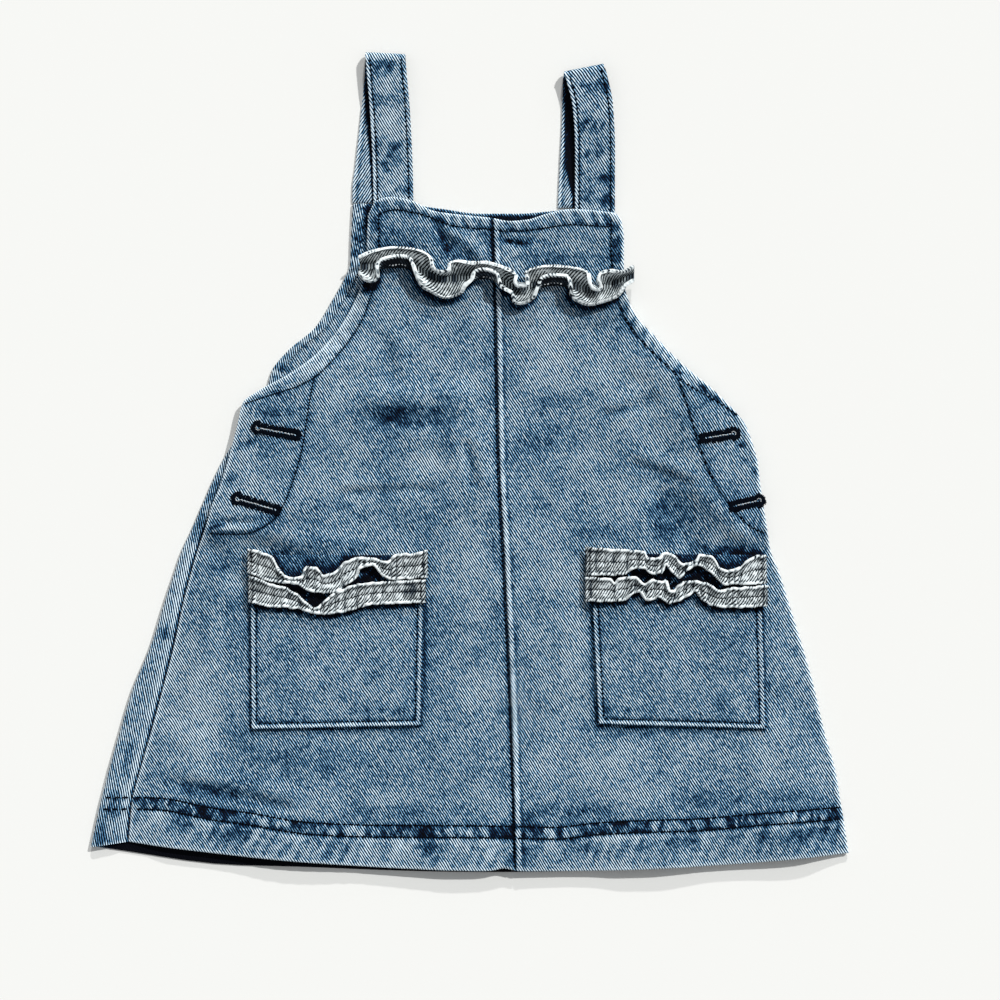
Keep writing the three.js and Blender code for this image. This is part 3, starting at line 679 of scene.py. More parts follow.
class Shader:
    """A material that is built node by node."""

    def __init__(self, name: str) -> None:
        """Starts an empty material with a Principled shader.

        Args:
            name: the material's name.
        """
        self.material = bpy.data.materials.new(name)
        self.material.use_nodes = True
        self.tree = self.material.node_tree
        self.tree.nodes.clear()
        self.surface = self.node("ShaderNodeBsdfPrincipled", {}, {})
        output = self.node("ShaderNodeOutputMaterial", {}, {})
        self.tree.links.new(self.surface.outputs[0], output.inputs[0])

    def node(self, kind: str, settings: dict, sockets: dict) -> bpy.types.Node:
        """Adds one node.

        Args:
            kind: the node's type.
            settings: its own settings, which are set first.
            sockets: values or links of its sockets, by name or number.

        Returns:
            The node.
        """
        made = self.tree.nodes.new(kind)
        for name, value in settings.items():
            setattr(made, name, value)
        for key, value in sockets.items():
            self.join(value, made.inputs[key])
        return made

    def join(self, value: object, socket: bpy.types.NodeSocket) -> None:
        """Links a socket or number to an input, or sets the input's own value."""
        if isinstance(value, Num):
            self.tree.links.new(value.socket, socket)
        elif isinstance(value, bpy.types.NodeSocket):
            self.tree.links.new(value, socket)
        else:
            socket.default_value = value

    def maths(self, operation: str, *values: Num | float) -> Num:
        """The result of one Math node."""
        node = self.node("ShaderNodeMath", {"operation": operation}, dict(enumerate(values)))
        return Num(self, node.outputs[0])

    def pattern(self) -> tuple[Num, Num]:
        """Millimetres across and up the cloth, from its own map."""
        layer = self.node("ShaderNodeUVMap", {"uv_map": "cloth"}, {})
        split = self.node("ShaderNodeSeparateXYZ", {}, {0: layer.outputs[0]})
        return (
            Num(self, split.outputs[0]) * PATTERN_UNIT,
            Num(self, split.outputs[1]) * PATTERN_UNIT,
        )

    def attribute(self, name: str) -> Num:
        """A number that each point of the mesh holds."""
        node = self.node("ShaderNodeAttribute", {"attribute_name": name}, {})
        return Num(self, node.outputs["Fac"])

    def noise(self, across: Num, up: Num, detail: float = 2.0) -> Num:
        """Noise from 0 to 1 at a pair of coordinates."""
        place = self.node("ShaderNodeCombineXYZ", {}, {0: across, 1: up})
        node = self.node(
            "ShaderNodeTexNoise",
            {"noise_dimensions": "2D"},
            {"Vector": place.outputs[0], "Scale": 1.0, "Detail": detail},
        )
        return Num(self, node.outputs[0])

    def ramp(self, tone: Num, stops: tuple["Stop", ...]) -> bpy.types.NodeSocket:
        """A colour for each tone, between stops of tone and colour."""
        node = self.node("ShaderNodeValToRGB", {}, {0: tone})
        elements = node.color_ramp.elements
        for element, stop in zip(elements, stops):
            element.position, element.color = stop.tone, linear(stop.colour)
        for stop in stops[2:]:
            elements.new(stop.tone).color = linear(stop.colour)
        return node.outputs[0]

    def twill(self, slope: float, pitch: float) -> tuple[Num, Num, Num, Num]:
        """Coordinates of a twill.

        Args:
            slope: direction of its lines, in degrees.
            pitch: distance between two lines.

        Returns:
            Millimetres across and up the cloth and along a line, and the count of lines passed.
        """
        x, y = self.pattern()
        run, across = math.radians(slope), math.radians(slope + 90)
        along = x * math.cos(run) + y * math.sin(run)
        count = (x * math.cos(across) + y * math.sin(across)) * (1 / pitch)
        return x, y, along, count

    def solid_noise(self, scale: float) -> Num:
        """Noise from 0 to 1 through the whole piece, in its own space."""
        place = self.node("ShaderNodeTexCoord", {}, {})
        node = self.node(
            "ShaderNodeTexNoise", {}, {"Vector": place.outputs["Object"], "Scale": scale}
        )
        return Num(self, node.outputs[0])

    def bump(self, height: Num, distance: float, strength: float) -> None:
        """Gives the surface a relief of a height in metres."""
        node = self.node(
            "ShaderNodeBump", {}, {"Height": height, "Distance": distance, "Strength": strength}
        )
        self.join(node.outputs[0], self.surface.inputs["Normal"])

    def finished(self, colour: object, roughness: Num | float, gloss: float) -> bpy.types.Material:
        """The material, with its colour, its roughness and how much it reflects."""
        inputs = self.surface.inputs
        self.join(colour, inputs["Base Color"])
        self.join(roughness, inputs["Roughness"])
        self.join(gloss, inputs["Specular IOR Level"])
        return self.material


@dataclass(frozen=True)
class Stop:
    """A colour of 0 to 255 at a tone of 0 to 1."""

    tone: float
    colour: tuple[int, int, int]


def linear(colour: tuple[int, int, int]) -> tuple[float, float, float, float]:
    """A screen colour of 0 to 255 as the light that it stands for."""
    shares = [c / 255 for c in colour]
    return (*[s / 12.92 if s <= 0.04045 else ((s + 0.055) / 1.055) ** 2.4 for s in shares], 1.0)


@dataclass(frozen=True)
class Denim:
    """Right side of the washed twill: pale and dark lines that run down to the right."""

    name: str = "washed_denim"
    slope: float = -57.0
    pitch: float = 1.14
    contrast: float = 0.71
    grain: float = 0.85
    fluff: float = 0.6
    wash_and_shade: float = 0.2
    middle: float = 0.256
    stops: tuple[Stop, ...] = (
        Stop(0.0, (0, 1, 9)),
        Stop(1.0, (238, 251, 255)),
        Stop(0.3, (2, 34, 70)),
        Stop(0.5, (43, 97, 138)),
        Stop(0.7, (114, 168, 207)),
        Stop(0.86, (180, 221, 246)),
    )

    def material(self) -> bpy.types.Material:
        """Builds the material from the twill's lines, the yarn's grain and each point's wash and painted
        shade.
        """
        shader = Shader(self.name)
        x, y, along, count = shader.twill(self.slope, self.pitch)
        wander = shader.noise(x * 0.16, y * 0.16) - 0.5
        lines = ((count + wander * 0.6) * FULL_TURN).sine()
        yarn = shader.noise(count * 1.2, along * 0.4, 1.0) - 0.5
        fluff = shader.noise(x * 0.9, y * 0.9, 2.0) - 0.5
        cloud = shader.noise(x * 0.11, y * 0.11, 3.0) - 0.5
        # Each point's tone: wash and wear, and painted shade in furrows, gaps and beside other pieces.
        wash_and_shade = shader.attribute("wash_and_shade")
        tone = lines * self.contrast + yarn * self.grain + fluff * self.fluff + cloud * 0.2
        tone = tone + wash_and_shade * self.wash_and_shade + self.middle
        shader.bump(lines * 0.4 + yarn * 0.8, TWILL_RELIEF, TWILL_BUMP)
        return shader.finished(shader.ramp(tone, self.stops), 0.9, 0.12)


@dataclass(frozen=True)
class WrongSide:
    """Wrong side of the twill: off-white with dark ticks that run up to the right."""

    name: str = "denim_wrong_side"
    slope: float = 58.0
    pitch: float = 1.15
    stops: tuple[Stop, ...] = (
        Stop(0.0, (3, 8, 16)),
        Stop(1.0, (238, 244, 244)),
        Stop(0.35, (58, 72, 84)),
        Stop(0.62, (168, 178, 180)),
        Stop(0.82, (214, 222, 223)),
    )

    def material(self) -> bpy.types.Material:
        """Builds the material from broken dark ticks on a pale ground."""
        shader = Shader(self.name)
        x, y, along, count = shader.twill(self.slope, self.pitch)
        lines = (count * FULL_TURN).sine()
        breaks = shader.noise(count * 0.9, along * 0.5, 1.0)
        fluff = shader.noise(x * 1.3, y * 1.3, 2.0) - 0.5
        # Each point's tone: wash, and painted shade in furrows and gaps.
        wash_and_shade = shader.attribute("wash_and_shade")
        ticks = (lines * 0.6 + breaks * 1.2).step(0.45, 0.8)
        tone = 0.82 - ticks * (0.8 - wash_and_shade * 0.6) + fluff * 0.6 + wash_and_shade * 0.26
        shader.bump(fluff + lines * 0.3, TWILL_RELIEF, TWILL_BUMP)
        return shader.finished(shader.ramp(tone, self.stops), 0.92, 0.2)


@dataclass(frozen=True)
class Thread:
    """Sewing thread, mottled between a dark and a light colour."""

    name: str
    dark: tuple[int, int, int]
    light: tuple[int, int, int]

    def material(self) -> bpy.types.Material:
        """Builds the material from noise between the two colours."""
        shader = Shader(self.name)
        tone = shader.solid_noise(900.0)
        stops = (Stop(0.25, self.dark), Stop(0.75, self.light))
        shader.bump(tone, 0.0001, 0.4)
        return shader.finished(shader.ramp(tone, stops), 0.85, 0.06)


@dataclass(frozen=True)
class Plastic:
    """Dark plastic of the buttons, faintly clouded."""

    name: str = "button_plastic"

    def material(self) -> bpy.types.Material:
        """Builds the material from two dark tones."""
        shader = Shader(self.name)
        tone = shader.solid_noise(260.0)
        stops = (Stop(0.3, (28, 34, 44)), Stop(0.7, (44, 52, 66)))
        return shader.finished(shader.ramp(tone, stops), tone * 0.2 + 0.32, 0.5)


@dataclass(frozen=True)
class Paper:
    """Plain pale surface that the dress lies on."""

    name: str = "pale_surface"
    colour: tuple[int, int, int] = (237, 236, 232)

    def material(self) -> bpy.types.Material:
        """Builds the material from one pale colour."""
        return Shader(self.name).finished(linear(self.colour), 0.95, 0.1)


@dataclass
class Finishes:
    """All the finishes of the dress, made once."""

    denim: bpy.types.Material = field(default_factory=lambda: Denim().material())
    wrong_side: bpy.types.Material = field(default_factory=lambda: WrongSide().material())
    thread: bpy.types.Material = field(
        default_factory=lambda: Thread("navy_thread", (0, 1, 6), (2, 9, 22)).material()
    )
    pale_thread: bpy.types.Material = field(
        default_factory=lambda: Thread("pale_thread", (150, 158, 162), (235, 238, 238)).material()
    )
    plastic: bpy.types.Material = field(default_factory=lambda: Plastic().material())


@dataclass(frozen=True)
class Plan:
    """Where the plan's origin is in the frame, in millimetres."""

    x: float
    y: float

    @classmethod
    def from_frame(cls) -> "Plan":
        """Finds the plan from one button, whose place in it is known."""
        low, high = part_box("button_left_upper")
        middle = (low + high) / 2 / MM
        x, y = BUTTONS["button_left_upper"]
        return cls(middle.x - x, middle.y - y)

    def metres(self, points: np.ndarray) -> np.ndarray:
        """Points of the plan as metres in the frame."""
        return (points.reshape(-1, 3) + np.array([self.x, self.y, 0.0])) * MM


@dataclass
class ClothWall:
    """A closed wall of cloth between two grids of points.

    The second grid lies on the side that the turn from columns to rows faces.
    """

    under: np.ndarray
    over: np.ndarray
    pattern: np.ndarray
    wash_and_shade: np.ndarray

    def faces(self) -> np.ndarray:
        """Four corners for each face of both sides and of the rim between them."""
        rows, columns = self.under.shape[:2]
        below = np.arange(rows * columns).reshape(rows, columns)
        above = below + rows * columns
        top = [above[:-1, :-1], above[:-1, 1:], above[1:, 1:], above[1:, :-1]]
        foot = [below[:-1, :-1], below[1:, :-1], below[1:, 1:], below[:-1, 1:]]
        ring = np.concatenate(
            [below[0, :-1], below[:-1, -1], below[-1, :0:-1], below[:0:-1, 0]]
        )
        onward = np.roll(ring, -1)
        shift = rows * columns
        rim = joined(ring, onward, onward + shift, ring + shift)
        sides = [np.stack([part.ravel() for part in side], axis=1) for side in (top, foot)]
        return np.concatenate([*sides, rim])

    def build(self, name: str, plan: Plan) -> bpy.types.Object:
        """Makes the mesh with its own map and its tone of wash and painted shade.

        Args:
            name: the piece's name.
            plan: where the plan lies in the frame.

        Returns:
            The new object.
        """
        points = np.concatenate([self.under.reshape(-1, 3), self.over.reshape(-1, 3)])
        mesh = bpy.data.meshes.new(name)
        mesh.from_pydata(plan.metres(points).tolist(), [], self.faces().tolist())
        corners = np.zeros(len(mesh.loops), int)
        mesh.loops.foreach_get("vertex_index", corners)
        both = np.concatenate([self.pattern.reshape(-1, 2)] * 2) / PATTERN_UNIT
        mesh.uv_layers.new(name="cloth").uv.foreach_set("vector", both[corners].ravel())
        wash_and_shade = np.concatenate([self.wash_and_shade.ravel()] * 2).astype(np.float32)
        mesh.attributes.new("wash_and_shade", "FLOAT", "POINT").data.foreach_set("value", wash_and_shade)
        mesh.shade_smooth()
        mesh.set_sharp_from_angle(angle=math.radians(60))
        return placed(name, mesh)


def even_wall(middle: np.ndarray, thickness: np.ndarray) -> tuple[np.ndarray, np.ndarray]:
    """Both faces of a cloth around a grid of points in its middle.

    Args:
        middle: the grid, by rows and columns.
        thickness: the cloth's thickness at each point.

    Returns:
        The under and over grids.
    """
    along = np.gradient(middle, axis=1)
    across = np.gradient(middle, axis=0)
    normal = np.cross(along, across)
    normal /= np.linalg.norm(normal, axis=2, keepdims=True)
    half = thickness[..., None] / 2
    return middle - normal * half, middle + normal * half


class SeamLine:
    """A smooth line of stitching through a few points."""

    reach = 16.0

    def __init__(self, points: tuple[tuple[float, float], ...], step: float = 2.0) -> None:
        """Rounds the line through its points.

        Args:
            points: places that the line goes through.
            step: distance between the points of the smooth line.
        """
        rough = np.array(points, float)
        lengths = np.concatenate([[0], np.cumsum(np.hypot(*np.diff(rough, axis=0).T))])
        rows = tuple((s, *p) for s, p in zip(lengths, rough))
        table = Table(("along", "x", "y"), rows)
        places = np.linspace(0, lengths[-1], max(2, int(lengths[-1] / step) + 1))
        self.points = np.stack(
            [table.read("along", "x", places), table.read("along", "y", places)], axis=1
        )

    def project(self, x: np.ndarray, y: np.ndarray) -> tuple[np.ndarray, np.ndarray]:
        """Finds how places lie to the line.

        Args:
            x: places across the dress.
            y: places up the dress.

        Returns:
            The distance from the line, above 0 on its left side, and how far along it lies.
        """
        rough = np.concatenate([self.points[:-1:10], self.points[-1:]])
        signed, along = self.measure(rough, x, y)
        near = np.abs(signed) < self.reach
        signed[near], along[near] = self.measure(self.points, x[near], y[near])
        return signed, along

    @staticmethod
    def measure(line: np.ndarray, x: np.ndarray, y: np.ndarray) -> tuple[np.ndarray, np.ndarray]:
        """Signed distance from a line of points and the place along it."""
        best = np.full(x.shape, np.inf)
        signed, along = np.zeros(x.shape), np.zeros(x.shape)
        start = 0.0
        for (ax, ay), (bx, by) in zip(line[:-1], line[1:]):
            dx, dy = bx - ax, by - ay
            length = math.hypot(dx, dy)
            t = np.clip(((x - ax) * dx + (y - ay) * dy) / length**2, 0, 1)
            distance = np.hypot(x - ax - t * dx, y - ay - t * dy)
            side = np.where(dx * (y - ay) - dy * (x - ax) >= 0, 1.0, -1.0)
            closer = distance < best
            best = np.where(closer, distance, best)
            signed = np.where(closer, side * distance, signed)
            along = np.where(closer, start + t * length, along)
            start += length
        return signed, along


def front_across(x: np.ndarray, y: np.ndarray) -> np.ndarray:
    """How far across the front a place lies, from 0 at its left edge to 1 at its right."""
    left = FRONT_LEVELS.read("leftY", "leftX", y)
    right = FRONT_LEVELS.read("rightY", "rightX", y)
    return (x - left) / (right - left)


def hem_share(y: np.ndarray) -> np.ndarray:
    """How fully the hem's curve shows, from 0 below the pockets' tops to 1 near the hem."""
    return ease(-60, -165, y)


def folds_at(folds: Table, x: np.ndarray, y: np.ndarray) -> np.ndarray:
    """Lift of the cloth by a table of folds.

    Args:
        folds: ends, width and height of each fold.
        x: places across the dress.
        y: places up the dress.

    Returns:
        The height that the folds add.
    """
    total = np.zeros(np.broadcast(x, y).shape)
    for x1, y1, x2, y2, width, height in folds.rows:
        dx, dy = x2 - x1, y2 - y1
        length = math.hypot(dx, dy)
        along = ((x - x1) * dx + (y - y1) * dy) / length
        aside = ((x - x1) * dy - (y - y1) * dx) / length
        past = np.maximum(0, np.maximum(-along, along - length))
        total = total + height * np.exp(-(aside**2 + past**2) / width**2)
    return total


def patches_at(patches: Table, x: np.ndarray, y: np.ndarray) -> np.ndarray:
    """Tone that a table of light and dark patches adds at a place."""
    total = np.zeros(np.broadcast(x, y).shape)
    for px, py, long, wide, turn, tone in patches.rows:
        c, s = math.cos(math.radians(turn)), math.sin(math.radians(turn))
        u = ((x - px) * c + (y - py) * s) / long
        v = ((y - py) * c - (x - px) * s) / wide
        total = total + tone * np.exp(-((u * u + v * v) ** 1.5))
    return total


def front_underside(x: np.ndarray, y: np.ndarray) -> np.ndarray:
    """Height of the front's underside above the surface, the same as in the solids."""
    side_share = 0.06
    u = front_across(x, y)
    inside = ease(0, side_share, u) * ease(1, 1 - side_share, u)
    sewn_side = (1 - ease(-48, -36, y)) * (1 - inside)
    hollow = 0.5 + 1.2 * ease(-150, -205, y)
    resting = CLOTH + mix(REST_GAP, SEAM_GAP, sewn_side)
    left = ease(24, 0, x - FRONT_LEVELS.read("leftY", "leftPlacket", y))
    right = ease(-24, 0, x - FRONT_LEVELS.read("rightY", "rightPlacket", y))
    stands = STAND_LIFT * np.maximum(left, right) * ease(-47, PLACKET_FOOT, y) * ease(64, 38, y)
    ends = [route["front"].rows[0][1] for route in STRAPS.values()]
    aside = np.min([np.abs(x - end) for end in ends], axis=0)
    straps = STRAP_LIFT * ease(24, 11, aside) * ease(100, 117, y)
    return resting + inside * (hollow + folds_at(SOFT_FOLDS, x, y)) + stands + straps


def shaped_y(
    y: np.ndarray, x: np.ndarray, u: np.ndarray, neck: Table, fade: float
) -> np.ndarray:
    """A level's height at a place, with the hem's bow and the neck's curve.

    Args:
        y: the level's height on a straight line between its two ends.
        x: places across the dress.
        u: the same places as shares of the level's width.
        neck: the neck edge's curve.
        fade: how far down the neck's curve reaches.

    Returns:
        The real height of each place.
    """
    ends = neck.column("y")[[0, -1]]
    neck_level = mix(ends[0], ends[1], u)
    bow = HEM_BOW * 4 * u * (1 - u) * hem_share(y)
    rise = (neck.read("x", "y", x) - neck_level) * ease(neck_level - fade, neck_level, y)
    return y + bow + rise


def steps(first: float, last: float, spacing: tuple[tuple[float, float], ...]) -> np.ndarray:
    """Places from first to last, close together at both ends.

    Args:
        first: the lowest place.
        last: the highest place.
        spacing: rows of an upper limit and the step to use below it.

    Returns:
        The places, rising.
    """
    ends = np.array(EDGE_STEPS)
    places = [first + e for e in ends]
    for limit, step in spacing:
        while places[-1] < min(limit, last - ends[-1] - step / 2):
            places.append(places[-1] + step)
    return np.array(places + [last - e for e in ends[::-1]])


@dataclass
class Places:
    """Places on the front, and how they lie to its seams, found once for each seam."""

    lines: dict[str, SeamLine]
    x: np.ndarray
    y: np.ndarray
    found: dict[str, tuple[np.ndarray, np.ndarray]] = field(default_factory=dict)

    def to(self, name: str) -> tuple[np.ndarray, np.ndarray]:
        """Signed distance from a line and the place along it."""
        if name not in self.found:
            self.found[name] = self.lines[name].project(self.x, self.y)
        return self.found[name]

    def off(self, name: str) -> np.ndarray:
        """Signed distance from a line."""
        return self.to(name)[0]


@dataclass
class Front:
    """The two halves of the front, their seams and all that changes their surface."""

    seams: dict[str, SeamLine] = field(default_factory=dict)
    shade_lines: dict[str, SeamLine] = field(default_factory=dict)

    def __post_init__(self) -> None:
        """Rounds all the seam lines and the lines where other pieces touch the front, beside which shade
        is painted.
        """
        self.seams = {name: SeamLine(points) for name, points in SEAMS.items()}
        hem = [(x, y) for x, y in HEM_ROW.rows]
        self.seams["hem"] = SeamLine(tuple(hem))
        lower = [(x, y - HEM_ROWS_APART) for x, y in hem]
        self.seams["hem_lower"] = SeamLine(tuple(lower))
        # Lines just below and above the frill's edges and round the pouches, along which shade is painted.
        foot = [(x - 0.8, y - 0.9) for _, x, y in FRILL_LOWER.rows]
        self.shade_lines["frill"] = SeamLine(tuple(foot), 1.0)
        head = [(x + 0.4, y + 1.2) for _, x, y in FRILL_UPPER.rows]
        self.shade_lines["frill_head"] = SeamLine(tuple(head), 1.0)
        for side, (a, b, c, d) in POUCHES.items():
            self.shade_lines[side] = SeamLine((a, c, d, b), 1.5)

    def places(self, x: np.ndarray, y: np.ndarray) -> Places:
        """Starts the search for how places lie to the seams."""
        return Places({**self.seams, **self.shade_lines}, x, y)

    def bands(self, places: Places) -> np.ndarray:
        """Extra thickness of the turned edges, the stands and the centre ridge."""
        edge = 0.7
        x, y = places.x, places.y
        armhole_left, armhole_right = places.off("armhole_left"), places.off("armhole_right")
        placket_left, placket_right = places.off("placket_left"), places.off("placket_right")
        hem, neck = places.off("hem"), places.off("neck")
        extras = [
            HEM_EXTRA * ease(edge, -edge, hem),
            HEM_EXTRA * ease(-edge, edge, neck) * ease(100, 110, y),
            HEM_EXTRA * ease(edge, -edge, armhole_left) * ease(22, 26, y) * (x < FRONT_MIDDLE),
            HEM_EXTRA * ease(-edge, edge, armhole_right) * ease(18, 22, y) * (x > FRONT_MIDDLE),
            STAND_EXTRA * ease(edge, -edge, placket_left) * ease(-40, -36, y) * (x < -70) * (y < 45),
            STAND_EXTRA * ease(-edge, edge, placket_right) * ease(-40, -36, y) * (x > 100) * (y < 42),
            RIDGE_EXTRA * self.ridge(x, y),
        ]
        return np.max(extras, axis=0)

    def ridge(self, x: np.ndarray, y: np.ndarray) -> np.ndarray:
        """How high the lapped ridge of the centre seam stands, from 0 to 1."""
        offset = x - CENTRE_SEAM.read("y", "x", y)
        dome = 1 - np.abs(2 * offset / (RIDGE_WIDTH + 0.4) - 1) ** 3
        return np.clip(dome, 0, 1) * (offset > 0)

    def rope(self, places: Places) -> np.ndarray:
        """Slanting ridges that washing twists into the hem and the turned edges, -1 to 1."""
        total = np.zeros(places.x.shape)
        for k, (name, width, side, strength) in enumerate(ROPED):
            distance, along = places.to(name)
            inside = ease(-0.6, 0.6, distance * side) * ease(width, width * 0.8, distance * side)
            jitter = speckle(along, along * 0, 9, 40 + k) * 2.2
            wave = np.sin(FULL_TURN * (along + 0.5 * distance * side + jitter) / 7.0)
            inside = inside * strength * (0.55 + 0.45 * speckle(along, distance, 14, 50 + k))
            total = total + wave * inside
        return total

    def wrinkle(self, x: np.ndarray, y: np.ndarray) -> np.ndarray:
        """Creases and soft waves of the cloth, which both of its faces follow."""
        u = front_across(x, y)
        inside = ease(0, 0.04, u) * ease(1, 0.96, u)
        waves = speckle(x, y, 26, 1) * 0.28 + speckle(x, y, 11, 2) * 0.13
        return inside * (folds_at(CREASES, x, y) * 1.6 + waves * 1.4)

    def relief(self, places: Places) -> np.ndarray:
        """What the top face adds to the cloth: bands, seam furrows, puckers and roping."""
        height = self.bands(places) + self.rope(places) * 0.18
        for k, name in enumerate(self.seams):
            distance, along = places.to(name)
            jitter = speckle(along, along * 0, 11, 60 + k) * 2.0
            pucker = np.sin(FULL_TURN * (along + jitter) / 6.5) * bell(distance, 4.5)
            height = height - 0.32 * bell(distance, 0.8) + 0.14 * pucker
        return height + speckle(places.x, places.y, 4.5, 3) * 0.06

    def top(self, x: np.ndarray, y: np.ndarray) -> np.ndarray:
        """Height of the front's upper face."""
        relief = self.relief(self.places(x, y))
        return front_underside(x, y) + self.wrinkle(x, y) + CLOTH + relief

    def wash_and_shade(self, places: Places) -> np.ndarray:
        """Tone of the wash, wear and painted shade: below 0 darker and above 0 paler."""
        x, y = places.x, places.y
        mottle = 1 + 0.9 * speckle(x, y, 3.4, 7)
        # Patches of wash and of painted shade, broken up by mottling.
        tone = patches_at(FRONT_WASH_AND_SHADE, x, y) * mottle * 1.9
        tone = tone + speckle(x, y, 19, 4) * 0.5 + speckle(x, y, 6, 5) * 0.36
        tone = tone + self.rope(places) * 0.8
        # Painted shade in the furrows along every seam.
        for name in self.seams:
            distance = places.off(name)
            tone = tone - 1.0 * bell(distance, 1.2) - 0.3 * bell(distance, 3.5)
        hem_low, hem = places.off("hem_lower"), places.off("hem")
        along_hem = speckle(x + 0.4 * y, y * 0.3, 1.7, 8) + 0.25 * speckle(x, x * 0, 9, 18)
        between_rows = ease(0.5, -0.5, hem) * ease(-1, 1, hem_low)
        tone = tone + between_rows * (3.0 * along_hem - 0.7)
        below_rows = ease(1, -1, hem_low) * ease(-13, -4, hem_low)
        tone = tone + 0.9 * bell(hem_low + 2.2, 1.1) * ease(0.5, -0.5, hem_low)
        tone = tone - below_rows * (0.35 + 1.3 * speckle(x, y, 7, 9) + 0.8 * speckle(x, y, 2.8, 19))
        band = ease(-0.5, 0.5, -places.off("armhole_left")) * (x < FRONT_MIDDLE)
        band = band + ease(-0.5, 0.5, places.off("armhole_right")) * (x > FRONT_MIDDLE)
        tone = tone + band * (0.75 + 1.2 * speckle(x, y, 2.4, 10)) * ease(96, 80, y)
        # Painted shade beside the frill and round the pouches.
        for name, width, strength in CONTACT_SHADE:
            tone = tone + strength * bell(places.off(name), width)
        ridge = self.ridge(x, y)
        offset = x - CENTRE_SEAM.read("y", "x", y)
        blotches = speckle(y, y * 0, 7, 6)
        knots = speckle(y + 0.7 * x, x * 0, 1.5, 16)
        # The ridge is pale with wear, with painted shade in the furrows on both sides of it.
        tone = tone + ridge**2 * (2.2 + 1.4 * knots) - 1.6 * bell(offset + 0.8, 0.9)
        tone = tone - 1.2 * bell(offset - 3.6, 0.8)
        tone = tone - 0.9 * bell(offset + 4.5, 3.0) * ease(0.0, 0.7, blotches)
        return tone

    def half(self, is_left: bool) -> ClothWall:
        """One half of the front, left or right of the centre seam.

        Args:
            is_left: which half.

        Returns:
            The half's wall of cloth.
        """
        first, last = FRONT_LEVELS.column("leftY")[[0, -1]]
        rows = steps(first, last, FRONT_SPACING)
        level = FRONT_LEVELS.levels("leftY", rows)
        seam = CENTRE_SEAM.read("y", "x", (level["leftY"] + level["rightY"]) / 2)
        x = self.left_columns(level, seam) if is_left else self.right_columns(level, seam)
        u = (x - level["leftX"]) / (level["rightX"] - level["leftX"])
        flat = mix(level["leftY"], level["rightY"], u)
        y = shaped_y(flat, x, u, FRONT_NECK, FRONT_NECK_FADE)
        notch = NOTCH_DEPTH * bell(x - NOTCH_X, NOTCH_WIDTH) * ease(-186, -204, y)
        y = y + notch
        under = front_underside(x, y) + self.wrinkle(x, y)
        outer = x - level["leftX"] if is_left else level["rightX"] - x
        inner = np.abs(x - seam) - SEAM_GAP / 2
        lengthwise = np.minimum(rows - first, last - rows)[:, None]
        nearest = np.minimum(np.minimum(outer, inner), lengthwise)
        places = self.places(x, y)
        thickness = (CLOTH + self.relief(places)) * rounded(nearest)
        edges = np.minimum(lengthwise, outer)
        # Pale worn edges, and painted shade where the left half's edge meets the centre seam.
        wash_and_shade = self.wash_and_shade(places) + 3.2 * bell(edges, 1.2) - 1.5 * bell(inner, 0.5) * is_left
        return ClothWall(
            joined(x, y, under),
            joined(x, y, under + thickness),
            joined(x, y),
            wash_and_shade,
        )

    def left_columns(self, level: dict[str, np.ndarray], seam: np.ndarray) -> np.ndarray:
        """Places across the left half, close together at its edges and seams."""
        edge = level["leftX"] + np.array(EDGE_STEPS)
        end = seam - SEAM_GAP / 2 - np.array(EDGE_STEPS[::-1])
        turned, placket = level["leftTurned"][:, 0], level["leftPlacket"][:, 0]
        return np.concatenate(
            [
                edge,
                between(edge[:, -1], turned, LEFT_COLUMNS[0]),
                between(turned, placket, LEFT_COLUMNS[1]),
                between(placket, end[:, 0], LEFT_COLUMNS[2]),
                end[:, 1:],
            ],
            axis=1,
        )

    def right_columns(self, level: dict[str, np.ndarray], seam: np.ndarray) -> np.ndarray:
        """Places across the right half, close together at its edges, seams and ridge."""
        start = seam + SEAM_GAP / 2 + np.array(EDGE_STEPS)
        ridge = seam[:, 0] + RIDGE_WIDTH + 1.2
        edge = level["rightX"] - np.array(EDGE_STEPS[::-1])
        placket, turned = level["rightPlacket"][:, 0], level["rightTurned"][:, 0]
        return np.concatenate(
            [
                start,
                between(start[:, -1], ridge, RIGHT_COLUMNS[0]),
                between(ridge, placket, RIGHT_COLUMNS[1]),
                between(placket, turned, RIGHT_COLUMNS[2]),
                between(turned, edge[:, 0], RIGHT_COLUMNS[3]),
                edge[:, 1:],
            ],
            axis=1,
        )


